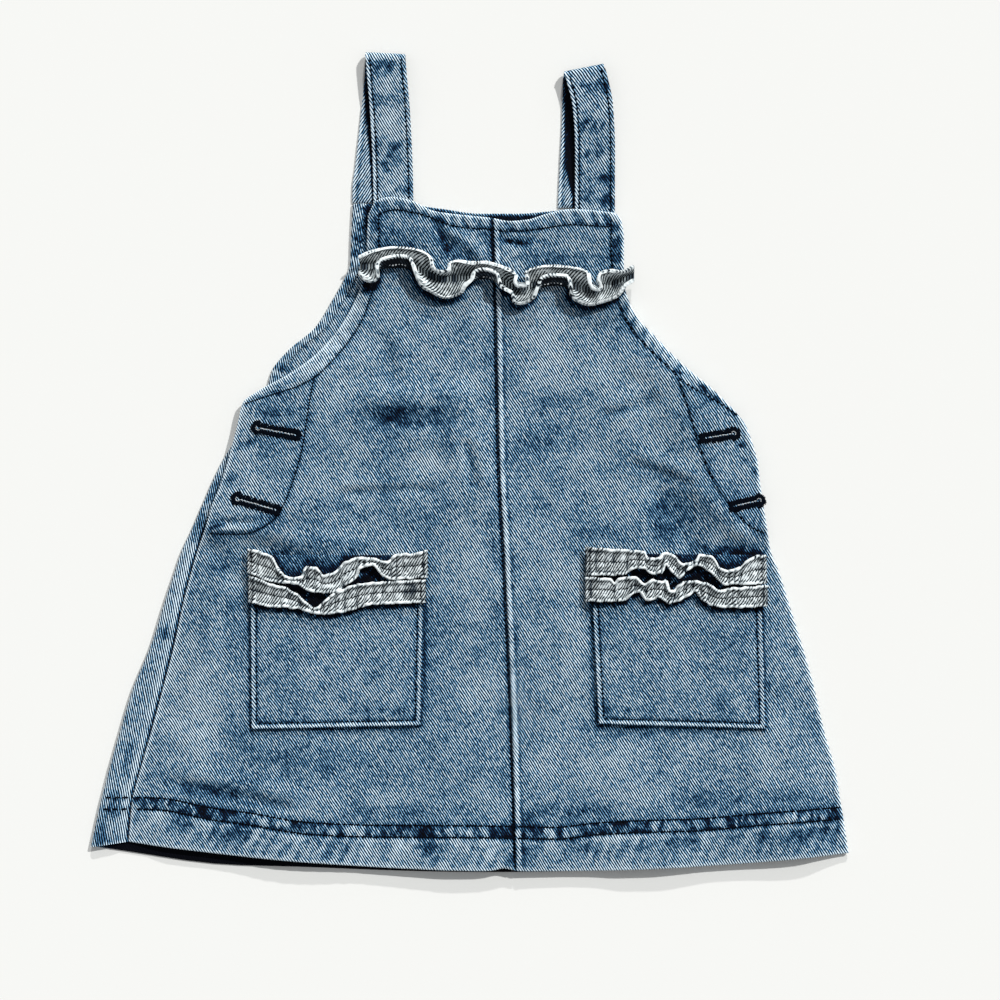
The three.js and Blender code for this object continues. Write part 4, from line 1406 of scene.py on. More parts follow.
@dataclass
class Back:
    """The back: flat on the surface, with its left side turned forward over itself."""

    flap_columns: int = 24
    fold_columns: int = 8
    near_columns: int = 36
    near_width: float = 46.0
    far_columns: int = 24
    flap_turn: float = 22.0

    def wall(self) -> ClothWall:
        """Builds the wall from its sections, one for each level.

        Returns:
            The back's wall of cloth.
        """
        first, last = BACK_LEVELS.column("leftY")[[0, -1]]
        places = steps(first, last, BACK_SPACING)
        level = BACK_LEVELS.levels("leftY", places)
        left_x, left_y = level["leftX"], level["leftY"]
        puff = WRAP_PUFF * ease(-30, -70, left_y)
        outer = CLOTH + (SEAM_GAP + puff) / 2
        inner = outer - CLOTH
        fold_x = left_x + outer
        wrapped = left_y < PLACKET_FOOT
        wrap_y = left_y + 2.3 * ease(-150, -193, left_y)
        front_edge = FRONT_LEVELS.read("leftY", "leftX", wrap_y) - SEAM_GAP
        wrap_x = np.where(wrapped, front_edge, left_x + TURNED_EDGE)
        edge_y = self.lowered(level, left_x)
        wrap_end_y = np.where(wrapped, wrap_y, self.lowered(level, wrap_x))
        share = np.arange(self.flap_columns) / self.flap_columns
        lift = FLAP_LIFT.read("share", "lift", share)
        x = mix(wrap_x, fold_x, share)
        y = mix(wrap_end_y, edge_y, share)
        rough = speckle(x, y, 9, 11) * 0.12 + speckle(x, y, 4, 12) * 0.05
        top = 2 * CLOTH + SEAM_GAP + puff * lift + rough * ease(0, 3, x - fold_x)
        rim = rounded((wrap_x - x) * np.ones(x.shape))
        thin = CLOTH * (1 - rim)
        flap_under = joined(x, y, top - thin / 2)
        flap_over = joined(x, y, top - CLOTH + thin / 2)
        angle = math.pi / 2 + math.pi * np.arange(self.fold_columns + 1) / self.fold_columns
        ring_y = edge_y * np.ones(angle.shape)
        rings = [
            joined(fold_x + r * np.cos(angle), ring_y, outer + r * np.sin(angle))
            for r in (outer, inner)
        ]
        near = fold_x[:, 0] + self.near_width
        lower_x = np.concatenate(
            [
                between(fold_x[:, 0], near, self.near_columns),
                between(near, level["rightX"][:, 0] - EDGE_ROUND, self.far_columns),
                level["rightX"] - np.array(EDGE_STEPS[-2::-1]),
            ],
            axis=1,
        )
        lower_y = self.lowered(level, lower_x)
        lengthwise = np.minimum(places - first, last - places)[:, None]
        nearest = np.minimum(level["rightX"] - lower_x, lengthwise)
        lower_z = CLOTH * rounded(nearest)
        lower_under = joined(lower_x, lower_y, lower_z * 0)
        lower_over = joined(lower_x, lower_y, lower_z)
        under = np.concatenate([flap_under, rings[0], lower_under], axis=1)
        over = np.concatenate([flap_over, rings[1], lower_over], axis=1)
        wash_and_shade = self.wash_and_shade(under[..., 0], under[..., 1], left_x, wrap_x, lengthwise)
        return ClothWall(under, over, self.pattern(under), wash_and_shade)

    def lowered(self, level: dict[str, np.ndarray], x: np.ndarray) -> np.ndarray:
        """Height of a level at a place, with the hem's bow, its drop and the neck's curve."""
        u = (x - level["leftX"]) / (level["rightX"] - level["leftX"])
        flat = mix(level["leftY"], level["rightY"], u)
        drop = BACK_HEM_DROP * hem_share(level["leftY"]) * bell(x + 128, 34)
        return shaped_y(flat, x, u, BACK_NECK, BACK_NECK_FADE) - drop

    def pattern(self, points: np.ndarray) -> np.ndarray:
        """Map of the cloth: turned on the flap, so that its twill stands more upright."""
        x, y = points[..., 0], points[..., 1]
        on_flap = np.arange(x.shape[1])[None, :] < self.flap_columns + self.fold_columns
        turn = math.radians(self.flap_turn) * on_flap
        u = x * np.cos(turn) - y * np.sin(turn)
        v = x * np.sin(turn) + y * np.cos(turn)
        return joined(u, v)

    def wash_and_shade(
        self,
        x: np.ndarray,
        y: np.ndarray,
        left_x: np.ndarray,
        wrap_x: np.ndarray,
        lengthwise: np.ndarray,
    ) -> np.ndarray:
        """Tone of the back's wash and painted shade: pale on the flap, with dark blotches beside its fold,
        and painted shade by the stitching and the front's edges.
        """
        from_fold = x - left_x
        blotch = speckle(x, y, 8, 13)
        tone = 0.3 + 0.45 * speckle(x, y, 15, 14) + 0.45 * speckle(x, y, 5, 15)
        tone = tone - 1.5 * ease(0.1, 0.6, blotch) * bell(from_fold - 5, 5)
        tone = tone + 0.9 * bell(from_fold, 1.2) + 1.4 * bell(lengthwise, 0.9)
        rope = np.sin(FULL_TURN * (y + 0.6 * x + 2 * blotch) / 8)
        tone = tone + 1.0 * rope * ease(30, 44, y) * bell(from_fold, 7)
        # Painted shade in the furrows of the hem's two rows.
        for row in (0, 1):
            line = HEM_ROW.read("x", "y", x) - row * HEM_ROWS_APART
            tone = tone - 0.5 * bell(y - line, 1.2)
        seam = y < PLACKET_FOOT
        # Painted shadow where the flap meets the front's side, beside a pale worn line.
        tone = tone - 3.2 * bell(x - wrap_x, 0.9) * seam + 1.2 * bell(x - wrap_x + 2.4, 1.2) * seam
        # Painted shadow that the bib's left edge casts on the back.
        beside = x - FRONT_LEVELS.read("leftY", "leftX", y) * np.ones(x.shape)
        tone = tone - 1.6 * ease(-1.2, -0.4, beside) * ease(60, 78, y)
        ladder = np.sin(FULL_TURN * (y - 0.7 * x) / 3.2) * bell(from_fold - 4, 3)
        tone = tone + 1.5 * ladder * ease(98, 104, y)
        is_lower = np.arange(x.shape[1])[None, :] >= self.flap_columns + self.fold_columns
        # Painted shade on the back's hem below the front's, in the neck's gap and at the top left corner.
        hem_in_shade = is_lower * ease(-160, -180, y) * ease(-186, -176, x)
        neck = is_lower * ease(-54, -48, x) * ease(112, 116, y) * ease(1.3, 2.1, lengthwise)
        corner = bell(x + 55, 2.5) * ease(121, 124, y)
        return tone - 7.0 * hem_in_shade - 2.6 * neck - 0.9 * corner


@dataclass
class Pouch:
    """A patch pocket's pouch, which lies on the front and follows it."""

    front: Front
    corners: tuple[tuple[float, float], ...]
    tiers: tuple[tuple[Table, Table], tuple[Table, Table]]
    seed: int

    def place(self, s: np.ndarray, t: np.ndarray) -> tuple[np.ndarray, np.ndarray]:
        """A point of the pouch from its shares across and up."""
        (ax, ay), (bx, by), (cx, cy), (dx, dy) = self.corners
        left_x, left_y = mix(cx, ax, t), mix(cy, ay, t)
        right_x, right_y = mix(dx, bx, t), mix(dy, by, t)
        return mix(left_x, right_x, s), mix(left_y, right_y, s)

    def rim(self, across: np.ndarray) -> np.ndarray:
        """How high the turned edge stands at a distance from the outline, 0 to 1."""
        return ease(POUCH_RIM + 0.5, POUCH_RIM - 0.5, across)

    def distance(self, s: np.ndarray, t: np.ndarray) -> np.ndarray:
        """Distance from the three sewn sides."""
        (ax, ay), (bx, by), (cx, cy), _ = self.corners
        return np.minimum(np.minimum(s, 1 - s) * (bx - ax), t * (ay - cy))

    def top(self, s: np.ndarray, t: np.ndarray) -> np.ndarray:
        """Height of the pouch's upper face, without its rounded edge."""
        x, y = self.place(s, t)
        under = front_underside(x, y) + CLOTH + POUCH_SEAMS * SEAM_GAP
        edge = self.distance(s, t)
        bulge = 0.35 * ease(0, 16, edge)
        furrow = 0.3 * bell(edge - POUCH_RIM - 0.7, 0.8)
        soft = self.front.wrinkle(x, y) * 0.5 + speckle(x, y, 9, self.seed) * 0.15
        puckers = 0.12 * np.sin((x + y) * 0.9 + 2 * speckle(x, y, 8, self.seed + 1))
        puckers = puckers * bell(edge - 4, 4)
        rise = POUCH_RIM_EXTRA * self.rim(edge) + bulge + soft * ease(0, 6, edge) + puckers
        return under + POUCH_THICKNESS + rise - furrow

    def wall(self) -> ClothWall:
        """Builds the pouch's wall of cloth."""
        (ax, ay), (bx, _), (_, cy), _ = self.corners
        width, height = bx - ax, ay - cy
        s = (steps(0, width, ((width, 1.15),)) / width)[None, :]
        t = (steps(0, height, ((8, 0.7), (height, 1.3))) / height)[:, None]
        s, t = np.broadcast_arrays(s, t)
        x, y = self.place(s, t)
        under = front_underside(x, y) + CLOTH + POUCH_SEAMS * SEAM_GAP
        under = under + np.minimum(self.front.wrinkle(x, y), 0) * 0.5
        edge = self.distance(s, t)
        top_edge = (1 - t) * height
        thickness = (self.top(s, t) - under) * rounded(np.minimum(edge, top_edge))
        return ClothWall(
            joined(x, y, under),
            joined(x, y, under + thickness),
            joined(x + 0.03 * y + 0.5, y - 0.03 * x),
            self.wash_and_shade(x, y, edge),
        )

    def wash_and_shade(self, x: np.ndarray, y: np.ndarray, edge: np.ndarray) -> np.ndarray:
        """Tone of the pouch: a pale rim, painted shade beside it and at its edge, and deep painted shade
        below the band and above it.
        """
        tone = 0.25 * speckle(x, y, 15, self.seed) + 0.35 * speckle(x, y, 5, self.seed + 3) - 0.15
        rim = self.rim(edge)
        knots = speckle(x, y, 1.5, self.seed + 6)
        # A pale worn rim, with painted shade in the furrow beside it.
        tone = tone + (2.6 + 1.4 * knots) * bell(edge - 1.3, 0.7) - 1.7 * bell(edge - POUCH_RIM - 0.8, 0.8)
        marks = speckle(x, y * 0.6, 3.6, self.seed + 5)
        foot = self.corners[2][1]
        tone = tone - 0.9 * ease(0.0, 0.8, marks) * bell(y - foot - 8, 6) * (1 - rim)
        # Painted shade at the pouch's edge.
        tone = tone - 1.8 * bell(edge, 0.7)
        (upper_head, _), (_, lower_foot) = self.tiers
        over = y - upper_head.read("x", "y", x)
        above = ease(-1.5, 1.0, over)
        # Painted shade under the band's strips, with pale flecks, and above the upper strip.
        flecks = ease(0.15, 0.6, speckle(x, y, 1.3, self.seed + 7))
        shade = (5.0 - 4.0 * flecks) * ease(-3.4, -0.6, y - lower_foot.read("x", "y", x))
        return tone - shade * (1 - above) - (1.3 + 2.0 * ease(6, 0, over)) * above

    def outline(self, inset: float, below: float) -> np.ndarray:
        """Points of the sewn line, down one side, along the foot and up the other."""
        (ax, ay), (bx, _), (_, cy), _ = self.corners
        s, t = inset / (bx - ax), inset / (ay - cy)
        high = (below - cy) / (ay - cy)
        shares = [(s, high), (s, t), (1 - s, t), (1 - s, high)]
        return np.array([self.place(np.array(a), np.array(b)) for a, b in shares], float)


@dataclass
class Tier:
    """One gathered strip of a pocket's band, sewn down along its middle."""

    foot: Table
    head: Table
    seed: int
    columns: int = 190
    lines: int = 26

    def ends(self, x: np.ndarray) -> np.ndarray:
        """Distance from the nearer end of the strip."""
        first, last = self.head.column("x")[[0, -1]]
        return np.minimum(x - first, last - x)

    def wave(self, x: np.ndarray) -> np.ndarray:
        """How far a place stands up between two puckers, from 0 to 1."""
        phase = speckle(x, x * 0, 8, self.seed) * 0.8
        return 0.5 + 0.5 * np.cos(FULL_TURN * (x / 5.2 + phase))

    def surface(self, x: np.ndarray, share: np.ndarray) -> tuple[np.ndarray, np.ndarray]:
        """The strip's middle layer.

        Args:
            x: places across the dress.
            share: places from 0 at the foot to 1 at the head.

        Returns:
            The points and the distance from the nearer long edge.
        """
        low, high = self.foot.read("x", "y", x), self.head.read("x", "y", x)
        wander = speckle(x, x * 0, 1.7, self.seed + 3) * 0.35 * ease(0, 3, self.ends(x))
        y = mix(low, high, share) + wander * (2 * np.abs(share - 0.5))
        height = high - low
        edge = np.minimum(share, 1 - share) * height
        ends = self.ends(x)
        pouch = CLOTH + POUCH_SEAMS * SEAM_GAP + POUCH_THICKNESS + POUCH_RIM_EXTRA
        base = front_underside(x, y) + pouch + SEAM_GAP + BAND_THICKNESS / 2
        fullness = ease(16, 8, height) * 0.8
        roll = 1.1 * bell(edge, 1.5) * ease(0, 3, ends)
        pucker = self.wave(x) * (0.45 + 0.85 * bell(edge, 3)) * ease(0, 4, ends)
        furrow = 0.6 * bell((share - 0.5) * height, 0.8)
        z = base + roll + pucker + fullness * np.sin(math.pi * share) - furrow + 0.1
        return joined(x, y, z), edge

    def wall(self) -> ClothWall:
        """Builds the strip with rolled edges and puckers.

        Returns:
            The strip's wall of cloth.
        """
        first, last = self.head.column("x")[[0, -1]]
        shares = 0.5 - 0.5 * np.cos(np.linspace(0, math.pi, self.lines))
        x, share = np.meshgrid(np.linspace(first, last, self.columns), shares)
        points, edge = self.surface(x, share)
        ends = self.ends(x)
        bead = 1 + (0.6 + 0.25 * speckle(x, x * 0, 1.6, self.seed + 4)) * bell(edge - 0.7, 0.8)
        thickness = BAND_THICKNESS * bead * rounded(np.minimum(edge, ends))
        under, over = even_wall(points, thickness)
        middle = (share - 0.5) * (self.head.read("x", "y", x) - self.foot.read("x", "y", x))
        pucker_shade = ease(0.25, 0.0, self.wave(x))
        mottle = speckle(x, points[..., 1], 2.2, self.seed + 1)
        knots = speckle(x, points[..., 1], 1.1, self.seed + 5)
        weak = 0.6 + 0.6 * speckle(x, points[..., 1], 4, self.seed + 6)
        # Pale piping, with painted shade beside it, along the middle's stitching, in the puckers and at
        # the ends.
        tone = 0.1 + (0.9 + 0.6 * knots) * bell(edge - 0.45, 0.5) - 1.0 * bell(edge - 1.7, 0.6)
        tone = tone - 1.1 * bell(middle, 0.6) - 1.6 * weak * pucker_shade * ease(0.8, 2.2, edge)
        tone = tone + 0.9 * mottle - 1.1 * bell(ends - 2.4, 0.7) - 0.8 * bell(ends, 0.5)
        return ClothWall(under, over, points[..., :2], tone)

    def stitch_lines(self) -> list[np.ndarray]:
        """Lines of stitching: along the middle, and up both ends."""
        first, last = self.head.column("x")[[0, -1]]
        raised = np.array([0.0, 0.0, BAND_THICKNESS / 2 + 0.12])
        along = np.linspace(first + 0.8, last - 0.8, 120)
        lines = [self.surface(along, np.full(along.shape, 0.5))[0] + raised]
        up = np.linspace(0.08, 0.92, 12)
        for x in (first + 2.4, last - 2.4):
            lines.append(self.surface(np.full(up.shape, x), up)[0] + raised)
        return lines


@dataclass
class Frill:
    """The bib's frill: sewn down along its middle, with both halves standing in waves."""

    front: Front
    columns: int = 300
    lines: int = 14
    root: float = 1.4
    lowest: float = 1.3
    curl: float = 0.72
    cut_length: float = 128.0
    arches: tuple[tuple[float, float], ...] = ((-41.0, -31.0), (7.5, 14.0), (38.0, 46.5))

    def half(self, along: np.ndarray, edge: Table, side: int) -> tuple[np.ndarray, np.ndarray]:
        """One half of the frill, from its root to its free edge.

        Args:
            along: places along the stitching.
            edge: the free edge's line.
            side: 1 for the upper half and -1 for the lower.

        Returns:
            The grid of points, one row for each line, and the distance from the free edge.
        """
        middle = FRILL_STITCHING.read("along", "y", along)
        ground = self.front.top(along, middle) + SEAM_GAP + FRILL_THICKNESS / 2
        root_y = middle + side * self.root
        edge_x, edge_y = edge.read("along", "x", along), edge.read("along", "y", along)
        reach = np.hypot(edge_x - along, edge_y - root_y)
        spare = np.maximum(0, FRILL_HALF**2 - reach**2)
        height = np.maximum(self.lowest, np.sqrt(spare) * self.curl)
        share = np.linspace(0, 1, self.lines)[:, None]
        bend = share * (1 - share) * 4
        x = mix(along, edge_x, share**1.2)
        lean = np.clip(height / FRILL_HALF, 0, 1)
        y = mix(root_y, edge_y, share) + side * 1.6 * bend * lean
        z = ground + height * (share**0.85) + 0.35 * bend
        return joined(x, y, z), (1 - share) * FRILL_HALF * np.ones(x.shape)

    def wall(self) -> ClothWall:
        """Builds the whole frill as one strip, from its lower edge to its upper one."""
        first, last = FRILL_STITCHING.column("along")[[0, -1]]
        along = np.linspace(first, last, self.columns)
        lower, lower_edge = self.half(along, FRILL_LOWER, -1)
        upper, upper_edge = self.half(along, FRILL_UPPER, 1)
        grid = np.concatenate([lower[::-1], upper], axis=0)
        edge = np.concatenate([lower_edge[::-1], upper_edge], axis=0)
        ends = np.minimum(along - first, last - along)[None, :] * np.ones(edge.shape)
        knots = speckle(along, along * 0, 1.3, 23)[None, :]
        bead = 1 + (0.7 + 0.25 * knots) * bell(edge - 0.8, 1.0)
        thickness = FRILL_THICKNESS * bead * rounded(np.minimum(edge, ends))
        under, over = even_wall(grid, thickness)
        length = np.linspace(0, self.cut_length, self.columns)[None, :] * np.ones(edge.shape)
        width = np.concatenate([-FRILL_HALF + lower_edge[::-1], FRILL_HALF - upper_edge], axis=0)
        # Pale piping, with painted shade beside it and along the gathering in the middle.
        tone = 0.05 + (0.8 + 0.35 * knots) * bell(edge - 0.6, 0.8) - 1.4 * bell(edge - 2.5, 0.7)
        tone = tone + 1.0 * speckle(length, width, 2.2, 21) - 1.3 * bell(width, 2.4)
        # Painted shade inside the lower half's arches, under the cloth that leans over them.
        arch = FRILL_LOWER.read("along", "y", along) - FRILL_STITCHING.read("along", "y", along)
        inside = ease(1, 4, arch)[None, :] * ease(1.6, 2.8, edge) * (width < 0)
        tone = tone - 2.8 * inside
        return ClothWall(under, over, joined(length, width * 0.8), tone)

    def gathers(self) -> list[np.ndarray]:
        """Lines of the pale gathering stitches that show inside the lower half's arches."""
        raised = np.array([0.0, 0.0, FRILL_THICKNESS / 2 + 0.3])
        lines = []
        for first, last in self.arches:
            along = np.linspace(first, last, 16)
            line = self.half(along, FRILL_LOWER, -1)[0][4] + raised
            line[:, 1] += 0.5 * speckle(along, along * 0, 1.2, 25)
            lines.append(line)
        return lines


@dataclass
class Strap:
    """A shoulder strap of two layers sewn flat, which lies back on itself."""

    front: Table
    back: Table
    top: float
    slant: float
    # Widths of the painted shadow on the lower leg beside the upper one: near its foot, and from the given
    # top height up.
    gap: tuple[float, float]
    shadow_top: float
    patches: tuple[tuple[float, float, float, float], ...]
    tone: float
    seed: int
    leg_rows: int = 64
    fold_rows: int = 9

    def line(self) -> tuple[np.ndarray, np.ndarray]:
        """Middle line of the strap and the length along it.

        Returns:
            Points of the line, and the distance along it of each.
        """
        half = STRAP_THICKNESS / 2
        tucked = CLOTH + SEAM_GAP + half
        fold_y = self.top - STRAP_FOLD
        fold_z = half + STRAP_FOLD
        resting = 2 * STRAP_THICKNESS + SEAM_GAP - half
        front_y = np.linspace(self.front.rows[0][0], fold_y, self.leg_rows)
        start = self.front.rows[0][0] + 3
        over = mix(tucked, resting, ease(start, self.back.rows[0][0] + 12, front_y)) + 0.1
        front_z = mix(over, fold_z + STRAP_FOLD, ease(self.top - 60, self.top - 12, front_y))
        front_x = self.front.read("y", "x", front_y)
        angle = math.pi / 2 - math.pi * np.arange(1, self.fold_rows) / self.fold_rows
        turn_y = fold_y + STRAP_FOLD * np.cos(angle)
        turn_z = fold_z + STRAP_FOLD * np.sin(angle)
        turn_x = self.front.read("y", "x", np.full(angle.shape, self.top))
        back_y = np.linspace(self.back.rows[0][0], fold_y, self.leg_rows)[::-1]
        back_x = self.back.read("y", "x", back_y)
        x = np.concatenate([front_x, turn_x, back_x])
        y = np.concatenate([front_y, turn_y, back_y])
        z = np.concatenate([front_z, turn_z, np.full(back_y.shape, half)])
        points = joined(x, y, z)
        return points, lengths_along(points)

    def across(self, points: np.ndarray, offset: np.ndarray) -> tuple[np.ndarray, np.ndarray]:
        """Places at offsets from the middle line, with the slant of the top fold."""
        tilt = self.slant * offset / STRAP_WIDTH * ease(self.top - 40, self.top, points[:, 1:2])
        return points[:, 0:1] + offset, points[:, 1:2] + tilt

    def wall(self) -> ClothWall:
        """Builds the strap's wall, with a furrow at each row of stitching.

        Returns:
            The strap's wall of cloth.
        """
        points, length = self.line()
        offset = steps(-STRAP_WIDTH / 2, STRAP_WIDTH / 2, ((STRAP_WIDTH, 0.95),))[None, :]
        x, y = self.across(points, offset)
        edge = STRAP_WIDTH / 2 - np.abs(offset)
        along = length[:, None] * np.ones(offset.shape)
        wave = speckle(along, offset * np.ones(x.shape), 9, self.seed) * 0.12
        z = points[:, 2:3] + wave * ease(20, 30, along) * ease(0, 6, self.top - y)
        ends = np.minimum(length, length[-1] - length)[:, None]
        row = edge - STRAP_ROW_INSET
        furrow = 0.25 * bell(row, 0.8)
        ripple = 0.08 * np.sin(FULL_TURN * (along + 2 * wave) / 6) * bell(edge - 2, 3)
        thickness = (STRAP_THICKNESS - furrow + ripple) * rounded(np.minimum(edge, ends))
        under, over = even_wall(joined(x, y, z), thickness)
        tone = 0.35 * speckle(along, x, 12, self.seed + 1) + self.tone
        tone = tone + 0.75 * speckle(along, x, 5, self.seed + 2)
        tone = tone + 0.45 * speckle(along, x, 2.2, self.seed + 3)
        for px, py, wide, high in self.patches:
            on_top = along < length[-1] / 2
            near = np.exp(-(((x - px) / wide) ** 2) - ((y - py) / high) ** 2)
            tone = tone - 1.9 * near * on_top * (1 + 1.2 * speckle(along, x, 2.6, self.seed + 4))
        is_left = offset < 0
        pale = ease(1.9, 1.2, edge) * is_left
        # Pale left edges, a dark right edge and painted shade in the furrows of the stitching.
        tone = tone + 2.4 * pale - 1.6 * bell(row, 0.7) - 0.6 * bell(edge, 0.7) * ~is_left
        # Painted shadow that the upper leg casts on the lower leg beside its left edge.
        is_back = np.arange(len(length))[:, None] > self.leg_rows + self.fold_rows // 2
        gap = self.front.read("y", "x", y) - STRAP_WIDTH / 2 - x
        reach = mix(self.gap[0], self.gap[1], ease(128, self.shadow_top, y))
        tone = tone - 5.5 * is_back * ease(reach, reach * 0.55, gap)
        return ClothWall(under, over, joined(x, along), tone)

    def stitch_rows(self) -> list[np.ndarray]:
        """Lines of stitching near both edges of the upper leg."""
        points, _ = self.line()
        leg = points[: self.leg_rows]
        lines = []
        for side in (-1, 1):
            offset = np.full((len(leg), 1), side * (STRAP_WIDTH / 2 - STRAP_ROW_INSET))
            x, y = self.across(leg, offset)
            z = leg[:, 2:3] + STRAP_THICKNESS / 2 + 0.06
            lines.append(np.concatenate([x, y, z], axis=1))
        return lines


class StitchMaker:
    """Places copies of one modelled stitch along lines, as one mesh."""

    def __init__(self) -> None:
        """Models one stitch: a short round-ended length of thread along x, 1 long and 1 wide."""
        bpy.ops.object.select_all(action="DESELECT")
        bpy.ops.mesh.primitive_uv_sphere_add(segments=8, ring_count=5, radius=0.5)
        made = bpy.context.active_object
        bpy.ops.object.mode_set(mode="EDIT")
        bpy.ops.mesh.select_all(action="SELECT")
        bpy.ops.transform.rotate(
            value=math.pi / 2, orient_axis="Y", center_override=(0.0, 0.0, 0.0)
        )
        bpy.ops.object.mode_set(mode="OBJECT")
        shape = np.array([v.co for v in made.data.vertices], float)
        shape[:, 0] = np.sign(shape[:, 0]) * np.abs(shape[:, 0] * 2) ** 0.6 / 2
        self.shape = shape
        self.faces = [list(p.vertices) for p in made.data.polygons]
        bpy.data.objects.remove(made)

    def cut(self, line: np.ndarray, size: StitchSize) -> list[tuple[np.ndarray, np.ndarray]]:
        """Ends of the stitches along a line.

        Args:
            line: points of the line.
            size: length of a stitch and the space after it.

        Returns:
            The two ends of each stitch.
        """
        lengths = lengths_along(line)
        count = max(1, int((lengths[-1] + size.gap) / (size.length + size.gap)))
        starts = np.linspace(0, lengths[-1] - size.length, count)
        ends = []
        for start in starts:
            places = (start, start + size.length)
            ends.append(
                tuple(np.array([np.interp(p, lengths, axis) for axis in line.T]) for p in places)
            )
        return ends

    def mesh(
        self,
        name: str,
        ends: list[tuple[np.ndarray, np.ndarray]],
        width: float,
        material: bpy.types.Material,
        plan: Plan,
    ) -> bpy.types.Object:
        """Joins many stitches in one piece.

        Args:
            name: the piece's name.
            ends: the two ends of each stitch.
            width: the thread's width.
            material: the thread's finish.
            plan: where the plan lies in the frame.

        Returns:
            The new piece.
        """
        points, faces = [], []
        up = np.array([0.0, 0.0, 1.0])
        for a, b in ends:
            run = b - a
            long = np.linalg.norm(run)
            ahead = run / long
            side = np.cross(up, ahead)
            side /= np.linalg.norm(side)
            rise = np.cross(ahead, side)
            axes = np.stack([ahead * long, side * width, rise * width * 0.8])
            base = len(points) * len(self.shape)
            points.append((a + b) / 2 + self.shape @ axes)
            faces += [[base + v for v in face] for face in self.faces]
        mesh = bpy.data.meshes.new(name)
        mesh.from_pydata(plan.metres(np.concatenate(points)).tolist(), [], faces)
        mesh.materials.append(material)
        mesh.shade_smooth()
        return placed(name, mesh)


@dataclass
class Sewing:
    """All the stitching of the dress."""

    front: Front
    maker: StitchMaker = field(default_factory=StitchMaker)
    lift: float = 0.2
    flap_hem_y: float = -169.2
    hem_ends_x: tuple[float, float] = (-166.5, 186.0)
    stand_ends_x: tuple[float, float] = (-129.5, 148.5)
    centre_ends_y: tuple[float, float] = (-199.0, 118.0)
    centre_offset: float = -0.75
    pouch_inset: float = POUCH_RIM + 0.7
    pouch_top_y: float = -72.0

    def on_front(self, line: np.ndarray) -> np.ndarray:
        """Lays a flat line on the front's upper face."""
        x, y = line[:, 0], line[:, 1]
        return joined(x, y, self.front.top(x, y) + self.lift)

    def hem_ends(self) -> list[tuple[np.ndarray, np.ndarray]]:
        """Stitches of the hem's two rows, on the front and on the back's flap."""
        ends = []
        for row in (0, 1):
            share = np.linspace(0.12, 0.86, 12)
            y = self.flap_hem_y - HEM_ROWS_APART * row
            near = FRONT_LEVELS.read("leftY", "leftX", np.array(y))
            far = BACK_LEVELS.read("leftY", "leftX", np.array(y))
            z = 2 * CLOTH + SEAM_GAP + WRAP_PUFF * FLAP_LIFT.read("share", "lift", share) + 0.3
            line = joined(mix(near, far, share), np.full(share.shape, y), z)
            ends += self.maker.cut(line, HEM_STITCH)
        first, last = self.hem_ends_x
        for name in ("hem", "hem_lower"):
            points = self.front.seams[name].points
            points = points[(points[:, 0] > first) & (points[:, 0] < last)]
            ends += self.maker.cut(self.on_front(points), HEM_STITCH)
        return ends

    def front_ends(self) -> list[tuple[np.ndarray, np.ndarray]]:
        """Stitches of the neck, the armholes, the stands and the centre seam."""
        ends = []
        for name, seam in self.front.seams.items():
            points = seam.points
            if name.startswith("hem"):
                continue
            if name == "placket_left":
                points = points[points[:, 0] > self.stand_ends_x[0]]
            if name == "placket_right":
                points = points[points[:, 0] < self.stand_ends_x[1]]
            ends += self.maker.cut(self.on_front(points), SEAM_STITCH)
        y = np.arange(*self.centre_ends_y, 3.0)
        centre = joined(CENTRE_SEAM.read("y", "x", y) + self.centre_offset, y)
        ends += self.maker.cut(self.on_front(centre), SEAM_STITCH)
        return ends

    def pouch_ends(self, pouch: Pouch) -> list[tuple[np.ndarray, np.ndarray]]:
        """Stitches around a pouch, on its upper face."""
        corners = pouch.outline(self.pouch_inset, self.pouch_top_y)
        ends = []
        for a, b in zip(corners[:-1], corners[1:]):
            share = np.linspace(0, 1, 40)[:, None]
            line = a + (b - a) * share
            s, t = self.shares(pouch, line)
            z = pouch.top(s, t) + self.lift
            ends += self.maker.cut(np.concatenate([line, z[:, None]], axis=1), SEAM_STITCH)
        return ends

    def shares(self, pouch: Pouch, line: np.ndarray) -> tuple[np.ndarray, np.ndarray]:
        """Shares across and up a pouch of points on it."""
        (ax, ay), (bx, by), (cx, cy), (dx, dy) = pouch.corners
        t = np.full(len(line), 0.5)
        s = np.full(len(line), 0.5)
        for _ in range(8):
            low_y, high_y = mix(cy, dy, s), mix(ay, by, s)
            t = (line[:, 1] - low_y) / (high_y - low_y)
            left, right = mix(cx, ax, t), mix(dx, bx, t)
            s = (line[:, 0] - left) / (right - left)
        return s, t


@dataclass(frozen=True)
class Slit:
    """A buttonhole's slit in plan, from its round outer end to its inner one."""

    outer: np.ndarray
    inner: np.ndarray
    to_eye: float = 3.4

    @property
    def length(self) -> float:
        """Length of the slit."""
        return np.linalg.norm(self.inner - self.outer)

    @property
    def ahead(self) -> np.ndarray:
        """Direction from the outer end to the inner one."""
        return (self.inner - self.outer) / self.length

    @property
    def side(self) -> np.ndarray:
        """Direction to the left of the slit."""
        return np.array([-self.ahead[1], self.ahead[0]])

    @property
    def eye(self) -> np.ndarray:
        """Middle of the round outer end."""
        return self.outer + self.ahead * self.to_eye

    def way(self, turn: float) -> np.ndarray:
        """Direction at an angle from the slit's own, in radians."""
        return self.ahead * math.cos(turn) + self.side * math.sin(turn)


